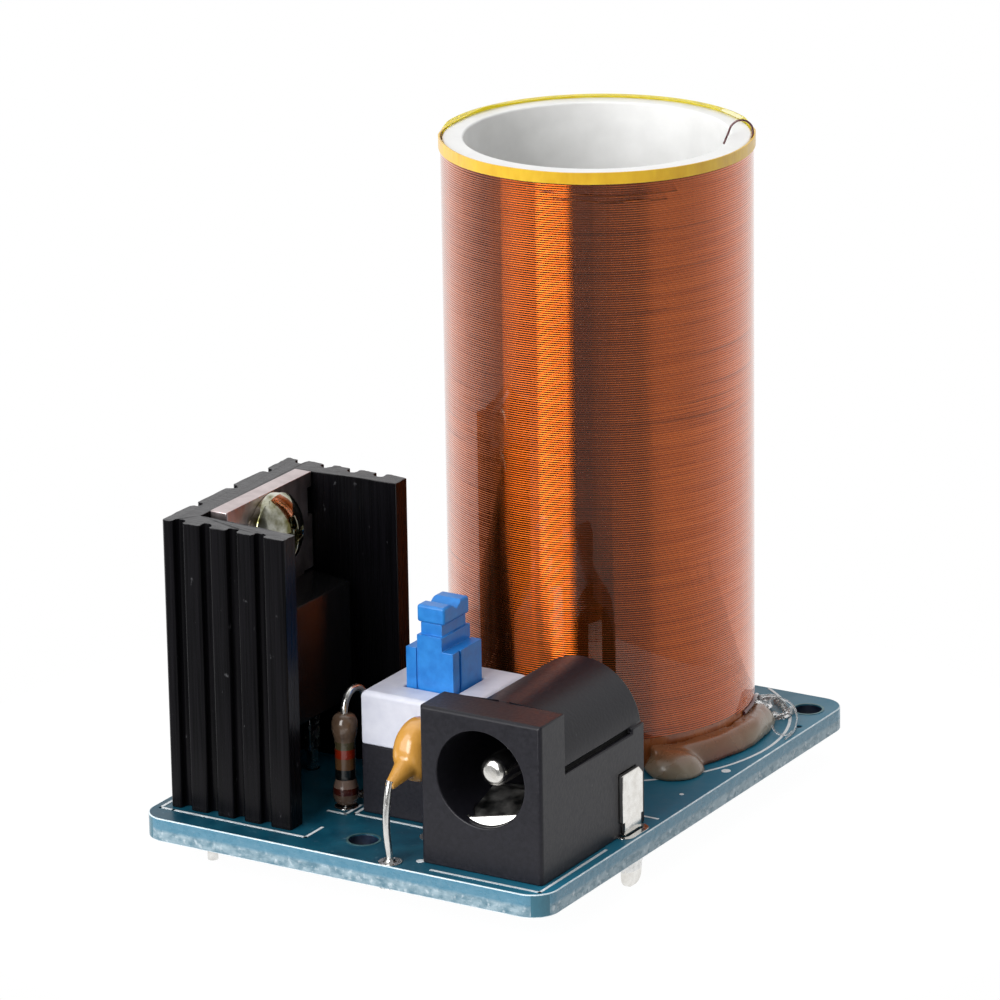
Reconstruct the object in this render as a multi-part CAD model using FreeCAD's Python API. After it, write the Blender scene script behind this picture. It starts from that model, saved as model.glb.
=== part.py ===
import FreeCAD, Part
import math
import os

# Desktop resonant transformer: a tall air-cored coil and its transistor driver on one small board.
# Millimetres, +Z up, X along the front edge of the board, Y from its front edge to its back edge.
# The origin is under the middle of the board, level with the tips of the longest leads.

Vector = FreeCAD.Vector
AXIS_X = Vector(1, 0, 0)
AXIS_Y = Vector(0, 1, 0)
AXIS_Z = Vector(0, 0, 1)
NEAR = 0.01                         # two places closer than this are the same place

# ---- board ----
board_thickness = 1.6
board_corner_radius = 1.8
lead_drop = 2.1                     # from the underside of the board to the longest lead tips
short_lead_drop = 1.4               # the same for the leads that are trimmed short
flush_lead_drop = 0.22              # the same for the capacitor's leads, cut almost flush
mounting_hole_radius = 1.0
back_hole_inset_x = 1.86            # from the side edge of the board to the hole's centre
back_hole_inset_y = 2.65
front_hole_inset_y = 3.26
hole_clearance = 0.15               # gap between a lead and the wall of its hole
pad_margin = 0.4                    # copper ring around a lead hole
pad_thickness = 0.05
track_width = 1.2
track_thickness = 0.05
via_radius = 0.22
via_inset_x = 0.8                   # from the right edge of the board
via_past_axis = 4.75                # from the coil's axis back to the via
solder_height = 0.9
flush_solder_height = 0.12          # on the leads that are cut almost flush
solder_margin = 0.35                # how far a solder cone reaches past the hole
solder_tip_margin = 0.1             # how far its tip stands off the lead

# ---- coil ----
coil_x = 2.0                        # to the right of the middle of the board
coil_back_margin = 0.25             # from the winding to the back edge of the board
coil_front_gap = 2.95               # from the winding to the heat sink
former_outer_radius = 10.3
former_wall = 1.4
former_height = 41.2
base_tape_height = 1.9
tape_thickness = 0.12
rim_tape_height = 0.9               # how far the tape reaches down the outside from the rim
rim_tape_lip = 0.22                 # how far it stands above the rim
rim_tape_lap = 0.35                 # how much of the winding it covers
winding_thickness = 0.15
wire_radius = 0.08
top_lead_angle = 24.0
top_lead_gap = 0.07                 # from the wire's inner end to the wall of the former
top_lead_tail = 0.7
bottom_lead_angle = 14.0            # where the wire leaves the foot of the winding
bottom_lead_height = 1.85
bottom_knee_angle = 32.0            # where it turns out and down to its hole
bottom_knee_rise = 0.4
bottom_knee_margin = 0.08           # how far the knee stands off the line that just touches the winding
pigtail_radius = 0.3
pigtail_angle = 38.0
pigtail_gap = 1.55                  # from the winding to the middle of the pigtail's hole
primary_turns = 3
primary_inner_radius = 6.3
primary_pitch = 1.2
primary_width = 0.8
primary_steps = 24                  # points on each turn of the spiral

# ---- glue ----
fillet_start_angle = -42.0
fillet_end_angle = 22.0
fillet_reach = 1.5
fillet_height = 1.9
fillet_bulge = 0.66
lump_angle = -36.0                  # the thick lump where the run of glue starts
lump_gap = 1.3                      # from the winding to the lump's centre
lump_radius = 2.1
lump_height = 1.5
bead_angle = 32.0
bead_gap = 1.1                      # from the winding to the bead's centre
bead_radius = 1.6
bead_height = 1.1

# ---- heat sink ----
sink_left_inset = 1.1               # from the left edge of the board
sink_front_inset = 2.3              # from the front edge of the board
sink_depth = 9.4
sink_web = 1.8                      # wall that carries the transistor, over its ribs
sink_arm_root = 1.9                 # arm thickness where it leaves the web, over its ribs
sink_arm_tip = 1.45
arm_groove_width = 0.74
arm_groove_depth = 0.7
arm_groove_pitch = 2.08
arm_groove_first = 1.98             # from the open end of an arm to the middle of its first groove
arm_groove_count = 4
web_groove_width = 0.7
web_groove_depth = 0.6
web_groove_pitch = 4.2
web_groove_count = 3
web_groove_shift = 0.4              # the web's grooves sit this far behind the middle
rib_rounding = 0.2
sink_pin_radius = 0.36
sink_pin_depth = 3.0
sink_pin_inset_x = 2.35
sink_pin_inset_y = 1.25

# ---- transistor ----
tab_width = 10.25
tab_thickness = 1.3
tab_rear_gap = 0.075                # from the tab to the heat sink's rear arm
tab_front_gap = 1.075               # from the tab to its front arm
tab_notch_top = 1.05
tab_notch_bottom = 2.95
tab_notch_depth = 0.5
tab_hole_radius = 1.8
tab_hole_drop = 2.8                 # from the tab's top to the hole's centre
tab_tongue_width = 8.0
case_inset = 0.125                  # from each side of the tab in to the case
case_height = 8.9
case_depth = 4.45
case_draft = 0.35
case_standoff = 4.4                 # from the board up to the case
leg_setback = 2.5                   # from the back of the tab to the legs' centre
leg_pitch = 2.54
leg_width = 0.75
leg_thickness = 0.5
leg_shoulder_width = 1.3
leg_shoulder_rise = 1.4             # from the board up to the shoulder
leg_root = 1.0                      # how far a leg reaches up inside the case

# ---- clamp screw ----
screw_radius = 1.45
screw_clearance = 0.05
screw_head_radius = 2.75
screw_head_height = 2.0
screw_head_rim = 0.6
screw_case_gap = 1.15               # from the head down to the case
recess_width = 0.7
recess_length = 2.6
recess_depth = 1.0

# ---- power socket ----
jack_right_inset = 1.08             # from the right edge of the board
jack_front_inset = 1.67             # from the front edge of the board
jack_width = 9.0
jack_flange = 3.08
jack_body_length = 13.2
jack_body_past_axis = 0.5           # top of the square body above the axis
jack_barrel_radius = 4.3
jack_axis_height = 6.45
jack_rounding = 0.3
jack_bore_radius = 3.25
jack_bore_depth = 10.0
jack_groove_height = 0.35
jack_groove_depth = 0.35
jack_groove_end = 1.5
centre_pin_radius = 1.0
centre_pin_setback = 1.35
centre_pin_rounding = 0.6
centre_pin_floor_gap = 0.1          # from the pin's full-width part to the floor of the bore
centre_pin_shank_radius = 0.75
centre_pin_clearance = 0.02
contact_thickness = 0.4
contact_clearance = 0.05
rear_terminal_width = 2.5
rear_terminal_rise = 1.6            # above the pin's axis
sleeve_leg_setback = 7.7
sleeve_leg_width = 2.4
sleeve_leaf_width = 3.4
sleeve_leaf_front = 1.1
sleeve_leaf_end_rise = 0.1          # above the lowest line of the bore
sleeve_leaf_crest_rise = 1.2
switch_leg_setback = 11.2
switch_leg_width = 2.1
switch_plate_width = 2.6
switch_plate_high = 4.3
switch_plate_low = 1.0              # the wide part of the plate starts this far above the board
switch_plate_proud = 0.3
switch_plate_chamfer = 0.5          # off the plate's upper rear corner
tongue_thickness = 0.2
tongue_front = 1.5
tongue_below_axis = 0.85
tongue_above_axis = 0.45
tongue_gap = 0.1                    # from the tongue to the bore's wall

# ---- push switch ----
switch_width = 8.0
switch_gap = 0.15                   # from the switch to the side of the socket
switch_front_inset = 7.55           # from the board's front edge to the switch
base_height = 4.8
base_wall = 0.7
base_floor = 1.0
cover_wall = 0.6
cover_top = 0.7
cover_rounding = 0.4
skirt_depth = 0.9
skirt_wall = 0.45
skirt_clearance = 0.05
stem_width = 3.6
stem_clearance = 0.15
stem_rise = 2.75                    # the square stem above the cover, at rest
stem_groove = 0.25
stem_groove_offset = 0.9            # from the middle of a face of the stem to its groove
plunger_travel = 2.2
plunger_stop_gap = 0.1              # between the flange and the cover, at rest
flange_width = 5.0
flange_height = 0.8
foot_width = 3.4
foot_floor_gap = 0.2                # under the plunger at full travel
block_width = 1.9
block_rise = 0.95
neck_width = 1.6
neck_length = 3.0
neck_rise = 0.8
head_width = 2.1
head_length = 3.2
head_rise = 1.2
head_notch_width = 1.3
head_notch_depth = 0.45
head_rounding = 0.2
spring_wire_radius = 0.12
spring_radius = 0.85
spring_turns = 6
spring_clearance = 0.18
terminal_row = 2.4                  # from the middle of the switch to a row of terminals
terminal_pitch = 2.5
terminal_width = 0.8
terminal_thickness = 0.3
terminal_rise = 1.7                 # above the floor of the base
wiper_thickness = 0.15
wiper_height = 1.2
wiper_gap = 0.05
latch_radius = 0.17
latch_clearance = 0.03
latch_low = 0.5                     # the pivot above the floor of the base
latch_tip_rise = 0.9                # the tip above the foot of the plunger, at rest
latch_gap = 0.6                     # from the foot of the plunger to the latch's upright
latch_reach = 0.26                  # how far the tip enters the cam slot
cam_slot_width = 1.7
cam_slot_depth = 0.38
cam_slot_end_gap = 0.15             # from the latch to either end of the slot, over the whole travel
cam_slot_roof = 0.08                # between the slot and the flange

# ---- resistor ----
sink_switch_gap = 2.27              # from the open end of the heat sink to the switch
resistor_gap = 0.57                 # from the switch to the resistor's end cap
resistor_past_front = 0.35          # from the switch's front face back to the resistor's axis
resistor_cap_radius = 0.95
resistor_waist_radius = 0.76
resistor_end_rounding = 0.35
resistor_length = 6.4
resistor_cap_length = 1.4
resistor_standoff = 0.15
resistor_pitch = 2.54
resistor_lead_radius = 0.25
resistor_lead_rise = 0.05

# ---- capacitor ----
capacitor_gap = 0.62                # from the capacitor to the side of the socket
capacitor_front_inset = 0.75        # from the board's front edge to the front lead
capacitor_pitch = 5.08
capacitor_thickness = 2.4
capacitor_radius = 2.15
capacitor_rim_flat = 0.3            # across the rim, between its roundings
capacitor_centre_height = 6.45
capacitor_past_front_lead = 3.9
capacitor_skirt_height = 5.1        # from the board up to the front skirt's foot
capacitor_back_skirt_height = 4.1
capacitor_skirt_radius = 0.33
capacitor_skirt_spread = 0.9        # its radius where it runs into the body
capacitor_skirt_run = 0.7           # share of the way from its foot to the body's middle
capacitor_lead_entry = 0.3          # how far a lead reaches up inside its skirt
capacitor_lead_radius = 0.24

# ---- heights and places worked out from the sizes above ----
former_inner_radius = former_outer_radius - former_wall
winding_outer_radius = former_outer_radius + winding_thickness
tab_exposed = tab_hole_drop + screw_head_radius + screw_case_gap
tab_height = case_height + tab_exposed
sink_width = 2 * sink_arm_root + tab_front_gap + tab_width + tab_rear_gap
sink_height = case_standoff + tab_height

board_length = (sink_left_inset + sink_depth + sink_switch_gap + switch_width + switch_gap
                + jack_width + jack_right_inset)
board_width = sink_front_inset + sink_width + coil_front_gap + 2 * winding_outer_radius + coil_back_margin
half_length = board_length / 2
half_width = board_width / 2
underside = lead_drop
top = underside + board_thickness

coil_y = half_width - coil_back_margin - winding_outer_radius
former_top = top + former_height
winding_low = top + base_tape_height
rim_tape_low = former_top - rim_tape_height
winding_high = rim_tape_low + rim_tape_lap
pigtail_reach = winding_outer_radius + pigtail_gap
pigtail_x = coil_x + pigtail_reach * math.cos(math.radians(pigtail_angle))
pigtail_y = coil_y + pigtail_reach * math.sin(math.radians(pigtail_angle))

sink_left = sink_left_inset - half_length
sink_right = sink_left + sink_depth
sink_front = sink_front_inset - half_width
sink_back = sink_front + sink_width
sink_middle = (sink_front + sink_back) / 2
sink_face = sink_left + sink_web
sink_top = top + sink_height
sink_pin_x = sink_left + sink_pin_inset_x
sink_pin_ys = [sink_front + sink_pin_inset_y, sink_back - sink_pin_inset_y]

tab_low = top + case_standoff
tab_top = tab_low + tab_height
tab_front = sink_face + tab_thickness
case_width = tab_width - 2 * case_inset
case_front = sink_face + case_depth
case_top = tab_low + case_height
transistor_y = sink_back - sink_arm_root - tab_rear_gap - tab_width / 2
leg_x = sink_face + leg_setback
leg_ys = [transistor_y - leg_pitch, transistor_y, transistor_y + leg_pitch]
screw_z = tab_top - tab_hole_drop

jack_right = half_length - jack_right_inset
jack_x = jack_right - jack_width / 2
jack_left = jack_x - jack_width / 2
jack_front = jack_front_inset - half_width
jack_rear = jack_front + jack_body_length
jack_axis_z = top + jack_axis_height
jack_top = jack_axis_z + jack_barrel_radius
jack_body_top = jack_axis_z + jack_body_past_axis
bore_low = jack_axis_z - jack_bore_radius
sleeve_leg_y = jack_front + sleeve_leg_setback
side_leg_y = jack_front + switch_leg_setback
side_plate_x = jack_right + switch_plate_proud - contact_thickness / 2
rear_terminal_y = jack_rear + contact_thickness / 2

switch_right = jack_left - switch_gap
switch_x = switch_right - switch_width / 2
switch_front = switch_front_inset - half_width
switch_y = switch_front + switch_width / 2
floor_z = top + base_floor
base_top = top + base_height
foot_low = floor_z + foot_floor_gap + plunger_travel
latch_pivot_z = floor_z + latch_low
latch_tip_z = foot_low + latch_tip_rise
latch_y = switch_y + foot_width / 2 + latch_gap
cam_slot_low = latch_tip_z - latch_radius - cam_slot_end_gap
cam_slot_high = latch_tip_z + plunger_travel + latch_radius + cam_slot_end_gap
flange_low = cam_slot_high + cam_slot_roof
flange_top = flange_low + flange_height
cover_top_z = flange_top + plunger_stop_gap + cover_top
stem_top = cover_top_z + stem_rise
spring_pocket_radius = spring_radius + spring_wire_radius + spring_clearance
terminal_ys = [switch_y - terminal_pitch, switch_y, switch_y + terminal_pitch]

resistor_x = switch_x - switch_width / 2 - resistor_gap - resistor_cap_radius
resistor_y = switch_front + resistor_past_front
resistor_low = top + resistor_standoff
resistor_high = resistor_low + resistor_length

capacitor_x = jack_left - capacitor_gap - capacitor_thickness / 2
capacitor_y = capacitor_front_inset - half_width
capacitor_back_y = capacitor_y + capacitor_pitch
capacitor_body_y = capacitor_y + capacitor_past_front_lead
capacitor_skirt_feet = [(capacitor_y, top + capacitor_skirt_height),
                        (capacitor_back_y, top + capacitor_back_skirt_height)]


def box(x0, x1, y0, y1, z0, z1):
    """A block between two opposite corners."""
    return Part.makeBox(x1 - x0, y1 - y0, z1 - z0, Vector(x0, y0, z0))


def square_block(x, y, width, z0, z1):
    """An upright block of square section centred on (x, y)."""
    half = width / 2
    return box(x - half, x + half, y - half, y + half, z0, z1)


def rod(radius, start, end):
    """A round bar from one point to another."""
    run = end - start
    return Part.makeCylinder(radius, run.Length, start, run)


def bent_rod(radius, edges):
    """A round wire along joined lines and arcs, given in order from its start."""
    path = Part.Wire(edges)
    start = edges[0].valueAt(edges[0].FirstParameter)
    heading = edges[0].tangentAt(edges[0].FirstParameter)
    section = Part.Wire(Part.makeCircle(radius, start, heading))
    return path.makePipeShell([section], True, True)


def hairpin(radius, start, turn_low, turn_top, turn_end, end):
    """A wire that runs straight, turns back over an arc and runs straight again."""
    arc = Part.Arc(turn_low, turn_top, turn_end).toShape()
    return bent_rod(radius, [Part.makeLine(start, turn_low), arc, Part.makeLine(turn_end, end)])


def ring(x, y, outer, inner, z0, z1):
    """An upright tube."""
    base = Vector(x, y, z0)
    return Part.makeCylinder(outer, z1 - z0, base).cut(Part.makeCylinder(inner, z1 - z0, base))


def prism(points, depth):
    """A flat outline pushed out along a vector."""
    outline = Part.makePolygon(points + [points[0]])
    return Part.Face(outline).extrude(depth)


def polar(angle, radius, z):
    """A point at an angle around the coil's axis."""
    turn = math.radians(angle)
    return Vector(coil_x + radius * math.cos(turn), coil_y + radius * math.sin(turn), z)


def round_edges(shape, radius, chosen):
    """Fillet the edges that a test picks out by their middle point and bounds."""
    edges = [edge for edge in shape.Edges if chosen(edge.BoundBox)]
    return shape.makeFillet(radius, edges)


def is_upright(bounds):
    """True for a straight vertical edge."""
    return bounds.XLength < NEAR and bounds.YLength < NEAR


def slot(x, y, size_x, size_y, z0, z1):
    """An upright prism with round ends; a circle if both sizes are the same."""
    radius = min(size_x, size_y) / 2
    shift_x = size_x / 2 - radius
    shift_y = size_y / 2 - radius
    ends = [Part.makeCylinder(radius, z1 - z0, Vector(x + side * shift_x, y + side * shift_y, z0))
            for side in (-1, 1)]
    if shift_x == 0 and shift_y == 0:
        return ends[0]
    wide_x = shift_x if shift_x > 0 else radius
    wide_y = shift_y if shift_y > 0 else radius
    middle = box(x - wide_x, x + wide_x, y - wide_y, y + wide_y, z0, z1)
    return middle.fuse(ends).removeSplitter()


def lead_places():
    """Centre and size across X and Y of every lead that passes through the board."""
    leads = [(jack_x, sleeve_leg_y, sleeve_leg_width, contact_thickness)]
    leads.append((jack_x, rear_terminal_y, rear_terminal_width, contact_thickness))
    leads.append((side_plate_x, side_leg_y, contact_thickness, switch_leg_width))
    for y in sink_pin_ys:
        leads.append((sink_pin_x, y, 2 * sink_pin_radius, 2 * sink_pin_radius))
    for y in leg_ys:
        leads.append((leg_x, y, leg_thickness, leg_width))
    for side in (-1, 1):
        for y in terminal_ys:
            leads.append((switch_x + side * terminal_row, y, terminal_thickness, terminal_width))
    for y in (resistor_y, resistor_y + resistor_pitch):
        leads.append((resistor_x, y, 2 * resistor_lead_radius, 2 * resistor_lead_radius))
    for y in (capacitor_y, capacitor_back_y):
        leads.append((capacitor_x, y, 2 * capacitor_lead_radius, 2 * capacitor_lead_radius))
    leads.append((pigtail_x, pigtail_y, 2 * pigtail_radius, 2 * pigtail_radius))
    return leads


def exposed_leads():
    """The leads whose copper pad can be seen on top of the board."""
    return [lead for lead in lead_places()
            if lead[0] in (resistor_x, capacitor_x, side_plate_x)]


def mounting_hole_places():
    """The centres of the three mounting holes."""
    back_x = half_length - back_hole_inset_x
    back_y = half_width - back_hole_inset_y
    return [(-back_x, back_y), (back_x, back_y), (0.0, front_hole_inset_y - half_width)]


def board_outline(z0, z1):
    """The board's outline with its rounded corners, before any hole."""
    plate = box(-half_length, half_length, -half_width, half_width, z0, z1)
    return round_edges(plate, board_corner_radius, is_upright)


def circuit_board():
    """Glass-fibre board with a hole for each lead, three mounting holes and one small via."""
    board = board_outline(underside, top)
    holes = [slot(x, y, size_x + 2 * hole_clearance, size_y + 2 * hole_clearance, underside, top)
             for x, y, size_x, size_y in lead_places()]
    holes += [Part.makeCylinder(mounting_hole_radius, board_thickness, Vector(x, y, underside))
              for x, y in mounting_hole_places()]
    via = Vector(half_length - via_inset_x, coil_y + via_past_axis, underside)
    holes.append(Part.makeCylinder(via_radius, board_thickness, via))
    return board.cut(holes)


def pad(lead, z0, z1):
    """One copper ring around a lead hole, trimmed to the board."""
    x, y, size_x, size_y = lead
    hole = 2 * hole_clearance
    rim = hole + 2 * pad_margin
    outside = slot(x, y, size_x + rim, size_y + rim, z0, z1)
    inside = slot(x, y, size_x + hole, size_y + hole, z0, z1)
    return outside.cut(inside).common(board_outline(z0, z1))


def solder_pads():
    """Copper rings: one under the board for each lead, and one on top where it can be seen."""
    low = [pad(lead, underside - pad_thickness, underside) for lead in lead_places()]
    socket = box(jack_left, jack_right, jack_front, jack_rear, top, top + pad_thickness)
    high = [pad(lead, top, top + pad_thickness).cut(socket) for lead in exposed_leads()]
    return low + high


def slot_wire(x, y, size_x, size_y, z):
    """The outline of a slot at one height."""
    face = max(slot(x, y, size_x, size_y, z, z + 1).Faces, key=lambda f: -f.CenterOfMass.z)
    return face.OuterWire


def solder_joints():
    """A cone of solder around each lead, on its pad under the board."""
    cones = []
    pad_face = underside - pad_thickness
    for x, y, size_x, size_y in lead_places():
        wide = 2 * (hole_clearance + solder_margin)
        base = slot_wire(x, y, size_x + wide, size_y + wide, pad_face)
        narrow = 2 * solder_tip_margin
        height = flush_solder_height if x == capacitor_x else solder_height
        tip = slot_wire(x, y, size_x + narrow, size_y + narrow, pad_face - height)
        cone = Part.makeLoft([base, tip], True, True).common(board_outline(0, pad_face))
        lead = lead_prism(x, y, size_x, size_y, 0, pad_face)
        cones.append(cone.cut(lead))
    return cones


def lead_prism(x, y, size_x, size_y, z0, z1):
    """The straight part of a lead: round if both sizes are the same, otherwise flat strip."""
    if size_x == size_y:
        return Part.makeCylinder(size_x / 2, z1 - z0, Vector(x, y, z0))
    return box(x - size_x / 2, x + size_x / 2, y - size_y / 2, y + size_y / 2, z0, z1)


def track(points):
    """A flat copper track under the board, through a few points, with round corners."""
    z0 = underside - track_thickness
    discs = [Part.makeCylinder(track_width / 2, track_thickness, Vector(x, y, z0)) for x, y in points]
    runs = []
    for (x0, y0), (x1, y1) in zip(points, points[1:]):
        length = math.hypot(x1 - x0, y1 - y0)
        run = Part.makeBox(length, track_width, track_thickness, Vector(0, -track_width / 2, 0))
        run.rotate(Vector(0, 0, 0), AXIS_Z, math.degrees(math.atan2(y1 - y0, x1 - x0)))
        run.translate(Vector(x0, y0, z0))
        runs.append(run)
    return discs[0].fuse(discs[1:] + runs).removeSplitter()


def driver_tracks():
    """Copper under the board from the socket through the switch to the resistor, transistor and coil."""
    row_left = switch_x - terminal_row
    row_right = switch_x + terminal_row
    front_y, middle_y, back_y = terminal_ys
    supply = track([(jack_x, rear_terminal_y), (row_right, back_y)])
    switched = track([(row_left, middle_y), (resistor_x, resistor_y + resistor_pitch)])
    base_drive = track([(resistor_x, resistor_y), (leg_x, leg_ys[0])])
    ground = track([(jack_x, sleeve_leg_y), (capacitor_x, capacitor_back_y)])
    collector_y = coil_y - primary_inner_radius - primary_turns * primary_pitch
    collector = track([(leg_x, leg_ys[1]), (leg_x + leg_pitch, leg_ys[2]), (coil_x, collector_y)])
    rim = 2 * (hole_clearance + pad_margin)
    blanks = [slot(x, y, size_x + rim, size_y + rim, 0, top) for x, y, size_x, size_y in lead_places()]
    blanks.append(primary_coil_track())
    return [run.cut(blanks) for run in (supply, switched, base_drive, ground, collector)]


def primary_coil_track():
    """The primary: a flat copper spiral under the board, around the coil's axis."""
    z0 = underside - track_thickness

    def edge(offset):
        points = []
        for step in range(primary_steps * primary_turns + 1):
            turns = step / primary_steps
            points.append(polar(360 * turns - 90, primary_inner_radius + primary_pitch * turns + offset, z0))
        curve = Part.BSplineCurve()
        curve.interpolate(points)
        return curve.toShape()

    inner = edge(-primary_width / 2)
    outer = edge(primary_width / 2)
    start = Part.makeLine(inner.valueAt(inner.FirstParameter), outer.valueAt(outer.FirstParameter))
    end = Part.makeLine(inner.valueAt(inner.LastParameter), outer.valueAt(outer.LastParameter))
    outline = Part.Wire(Part.__sortEdges__([inner, end, outer, start]))
    return Part.Face(outline).extrude(Vector(0, 0, track_thickness))


def coil_former():
    """Plain plastic tube that carries the winding."""
    return ring(coil_x, coil_y, former_outer_radius, former_inner_radius, top, former_top)


def base_tape():
    """Band of tape between the board and the first turn."""
    outer = former_outer_radius + tape_thickness
    return ring(coil_x, coil_y, outer, former_outer_radius, top, winding_low)


def rim_tape():
    """Band of tape over the last turns, which stands a little above the rim of the former."""
    high = former_top + rim_tape_lip
    on_wire = ring(coil_x, coil_y, winding_outer_radius + tape_thickness, winding_outer_radius,
                   rim_tape_low, winding_high)
    on_tube = ring(coil_x, coil_y, winding_outer_radius + tape_thickness, former_outer_radius,
                   winding_high, high)
    return on_wire.fuse(on_tube).removeSplitter()


def secondary_winding():
    """One close layer of enamelled wire, as the sleeve that it forms."""
    return ring(coil_x, coil_y, winding_outer_radius, former_outer_radius, winding_low, winding_high)


def winding_top_lead():
    """Free upper end of the wire, bent over the rim and down inside the former."""
    outer = winding_outer_radius + tape_thickness + wire_radius
    inner = former_inner_radius - top_lead_gap - wire_radius
    bend_radius = (outer - inner) / 2
    rise = former_top + rim_tape_lip
    turn = (polar(top_lead_angle, outer, rise),
            polar(top_lead_angle, outer - bend_radius, rise + bend_radius),
            polar(top_lead_angle, inner, rise))
    start = polar(top_lead_angle, outer, rim_tape_low - wire_radius)
    return hairpin(wire_radius, start, *turn, polar(top_lead_angle, inner, rise - top_lead_tail))


def winding_bottom_lead():
    """Lower end of the wire, led to its hole, where a stiff tinned pigtail reaches down to the lead tips."""
    start_radius = winding_outer_radius + wire_radius
    start = polar(bottom_lead_angle, start_radius, top + bottom_lead_height)
    run_angle = math.radians(bottom_knee_angle - bottom_lead_angle)
    knee_radius = start_radius / math.cos(run_angle) + bottom_knee_margin
    knee = polar(bottom_knee_angle, knee_radius, start.z + bottom_knee_rise)
    crown = Vector(pigtail_x, pigtail_y, top + pigtail_radius)
    pigtail = rod(pigtail_radius, Vector(pigtail_x, pigtail_y, 0), crown)
    wires = [rod(wire_radius, start, knee), rod(wire_radius, knee, crown)]
    ends = [Part.makeSphere(wire_radius, knee), Part.makeSphere(pigtail_radius, crown)]
    return pigtail.fuse(wires + ends).removeSplitter()


def glue_dome(angle, gap, radius, height):
    """A drop of glue on the board beside the winding."""
    centre = polar(angle, winding_outer_radius + gap, top)
    ball_radius = (radius ** 2 + height ** 2) / (2 * height)
    ball = Part.makeSphere(ball_radius, centre + Vector(0, 0, height - ball_radius))
    return ball.common(board_outline(top, former_top))


def hot_glue_fillet():
    """Milky glue run around part of the coil's foot, with a thick lump at its start."""
    inner = former_outer_radius + tape_thickness
    foot = Vector(inner, 0, top)
    toe = Vector(inner + fillet_reach, 0, top)
    crest = Vector(inner, 0, top + fillet_height)
    belly = Vector(inner + fillet_bulge * fillet_reach, 0, top + fillet_bulge * fillet_height)
    back = Part.Arc(toe, belly, crest).toShape()
    profile = Part.Wire([Part.makeLine(foot, toe), back, Part.makeLine(crest, foot)])
    glue = Part.Face(profile).revolve(Vector(0, 0, 0), AXIS_Z, fillet_end_angle - fillet_start_angle)
    glue.rotate(Vector(0, 0, 0), AXIS_Z, fillet_start_angle)
    glue.translate(Vector(coil_x, coil_y, 0))
    glue = glue.fuse(glue_dome(lump_angle, lump_gap, lump_radius, lump_height)).removeSplitter()
    taped = Part.makeCylinder(inner, former_height, Vector(coil_x, coil_y, top))
    return glue.cut([taped, secondary_winding(), winding_bottom_lead()])


def clear_glue_bead():
    """Clear bead beside the coil that holds down the lower end of the wire."""
    dome = glue_dome(bead_angle, bead_gap, bead_radius, bead_height)
    coil = Part.makeCylinder(winding_outer_radius, former_height, Vector(coil_x, coil_y, top))
    return dome.cut([coil, winding_bottom_lead(), hot_glue_fillet()])


def heat_sink():
    """Extruded channel, open to the right, ribbed on the outside of its web and both arms."""
    outline = [Vector(sink_left, sink_front, top),
               Vector(sink_right, sink_front, top),
               Vector(sink_right, sink_front + sink_arm_tip, top),
               Vector(sink_face, sink_front + sink_arm_root, top),
               Vector(sink_face, sink_back - sink_arm_root, top),
               Vector(sink_right, sink_back - sink_arm_tip, top),
               Vector(sink_right, sink_back, top),
               Vector(sink_left, sink_back, top)]
    sink = prism(outline, Vector(0, 0, sink_height))
    cuts = []
    for index in range(arm_groove_count):
        x = sink_right - arm_groove_first - arm_groove_pitch * index
        for y in (sink_front, sink_back):
            cuts.append(slot(x, y, arm_groove_width, 2 * arm_groove_depth, top, sink_top))
    for index in range(web_groove_count):
        y = sink_middle + web_groove_shift + web_groove_pitch * (index - (web_groove_count - 1) / 2)
        cuts.append(slot(sink_left, y, 2 * web_groove_depth, web_groove_width, top, sink_top))
    sink = sink.cut(cuts)

    def on_rib_tip(bounds):
        middle = bounds.Center
        near_front = abs(middle.y - sink_front) < NEAR
        near_back = abs(middle.y - sink_back) < NEAR
        near_left = abs(middle.x - sink_left) < NEAR
        return is_upright(bounds) and (near_front or near_back or near_left)

    sink = round_edges(sink, rib_rounding, on_rib_tip)
    sockets = [Part.makeCylinder(sink_pin_radius, sink_pin_depth, Vector(sink_pin_x, y, top))
               for y in sink_pin_ys]
    tapped = Part.makeCylinder(screw_radius + screw_clearance, sink_web,
                               Vector(sink_left, transistor_y, screw_z), AXIS_X)
    return sink.cut(sockets + [tapped])


def heat_sink_pins():
    """Two tinned pins that hold the heat sink to the board."""
    return [Part.makeCylinder(sink_pin_radius, top + sink_pin_depth, Vector(sink_pin_x, y, 0))
            for y in sink_pin_ys]


def transistor_tab():
    """Metal tab, which runs down behind the case as a narrower tongue."""
    wide = box(sink_face, tab_front, transistor_y - tab_width / 2, transistor_y + tab_width / 2,
               case_top, tab_top)
    tongue = box(sink_face, tab_front, transistor_y - tab_tongue_width / 2,
                 transistor_y + tab_tongue_width / 2, tab_low, case_top)
    notches = []
    for side in (-1, 1):
        edge_y = transistor_y + side * tab_width / 2
        notches.append(box(sink_face, tab_front, edge_y - tab_notch_depth, edge_y + tab_notch_depth,
                           tab_top - tab_notch_bottom, tab_top - tab_notch_top))
    hole = Part.makeCylinder(tab_hole_radius, tab_thickness,
                             Vector(sink_face, transistor_y, screw_z), AXIS_X)
    return wide.fuse(tongue).cut(notches + [hole]).removeSplitter()


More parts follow.
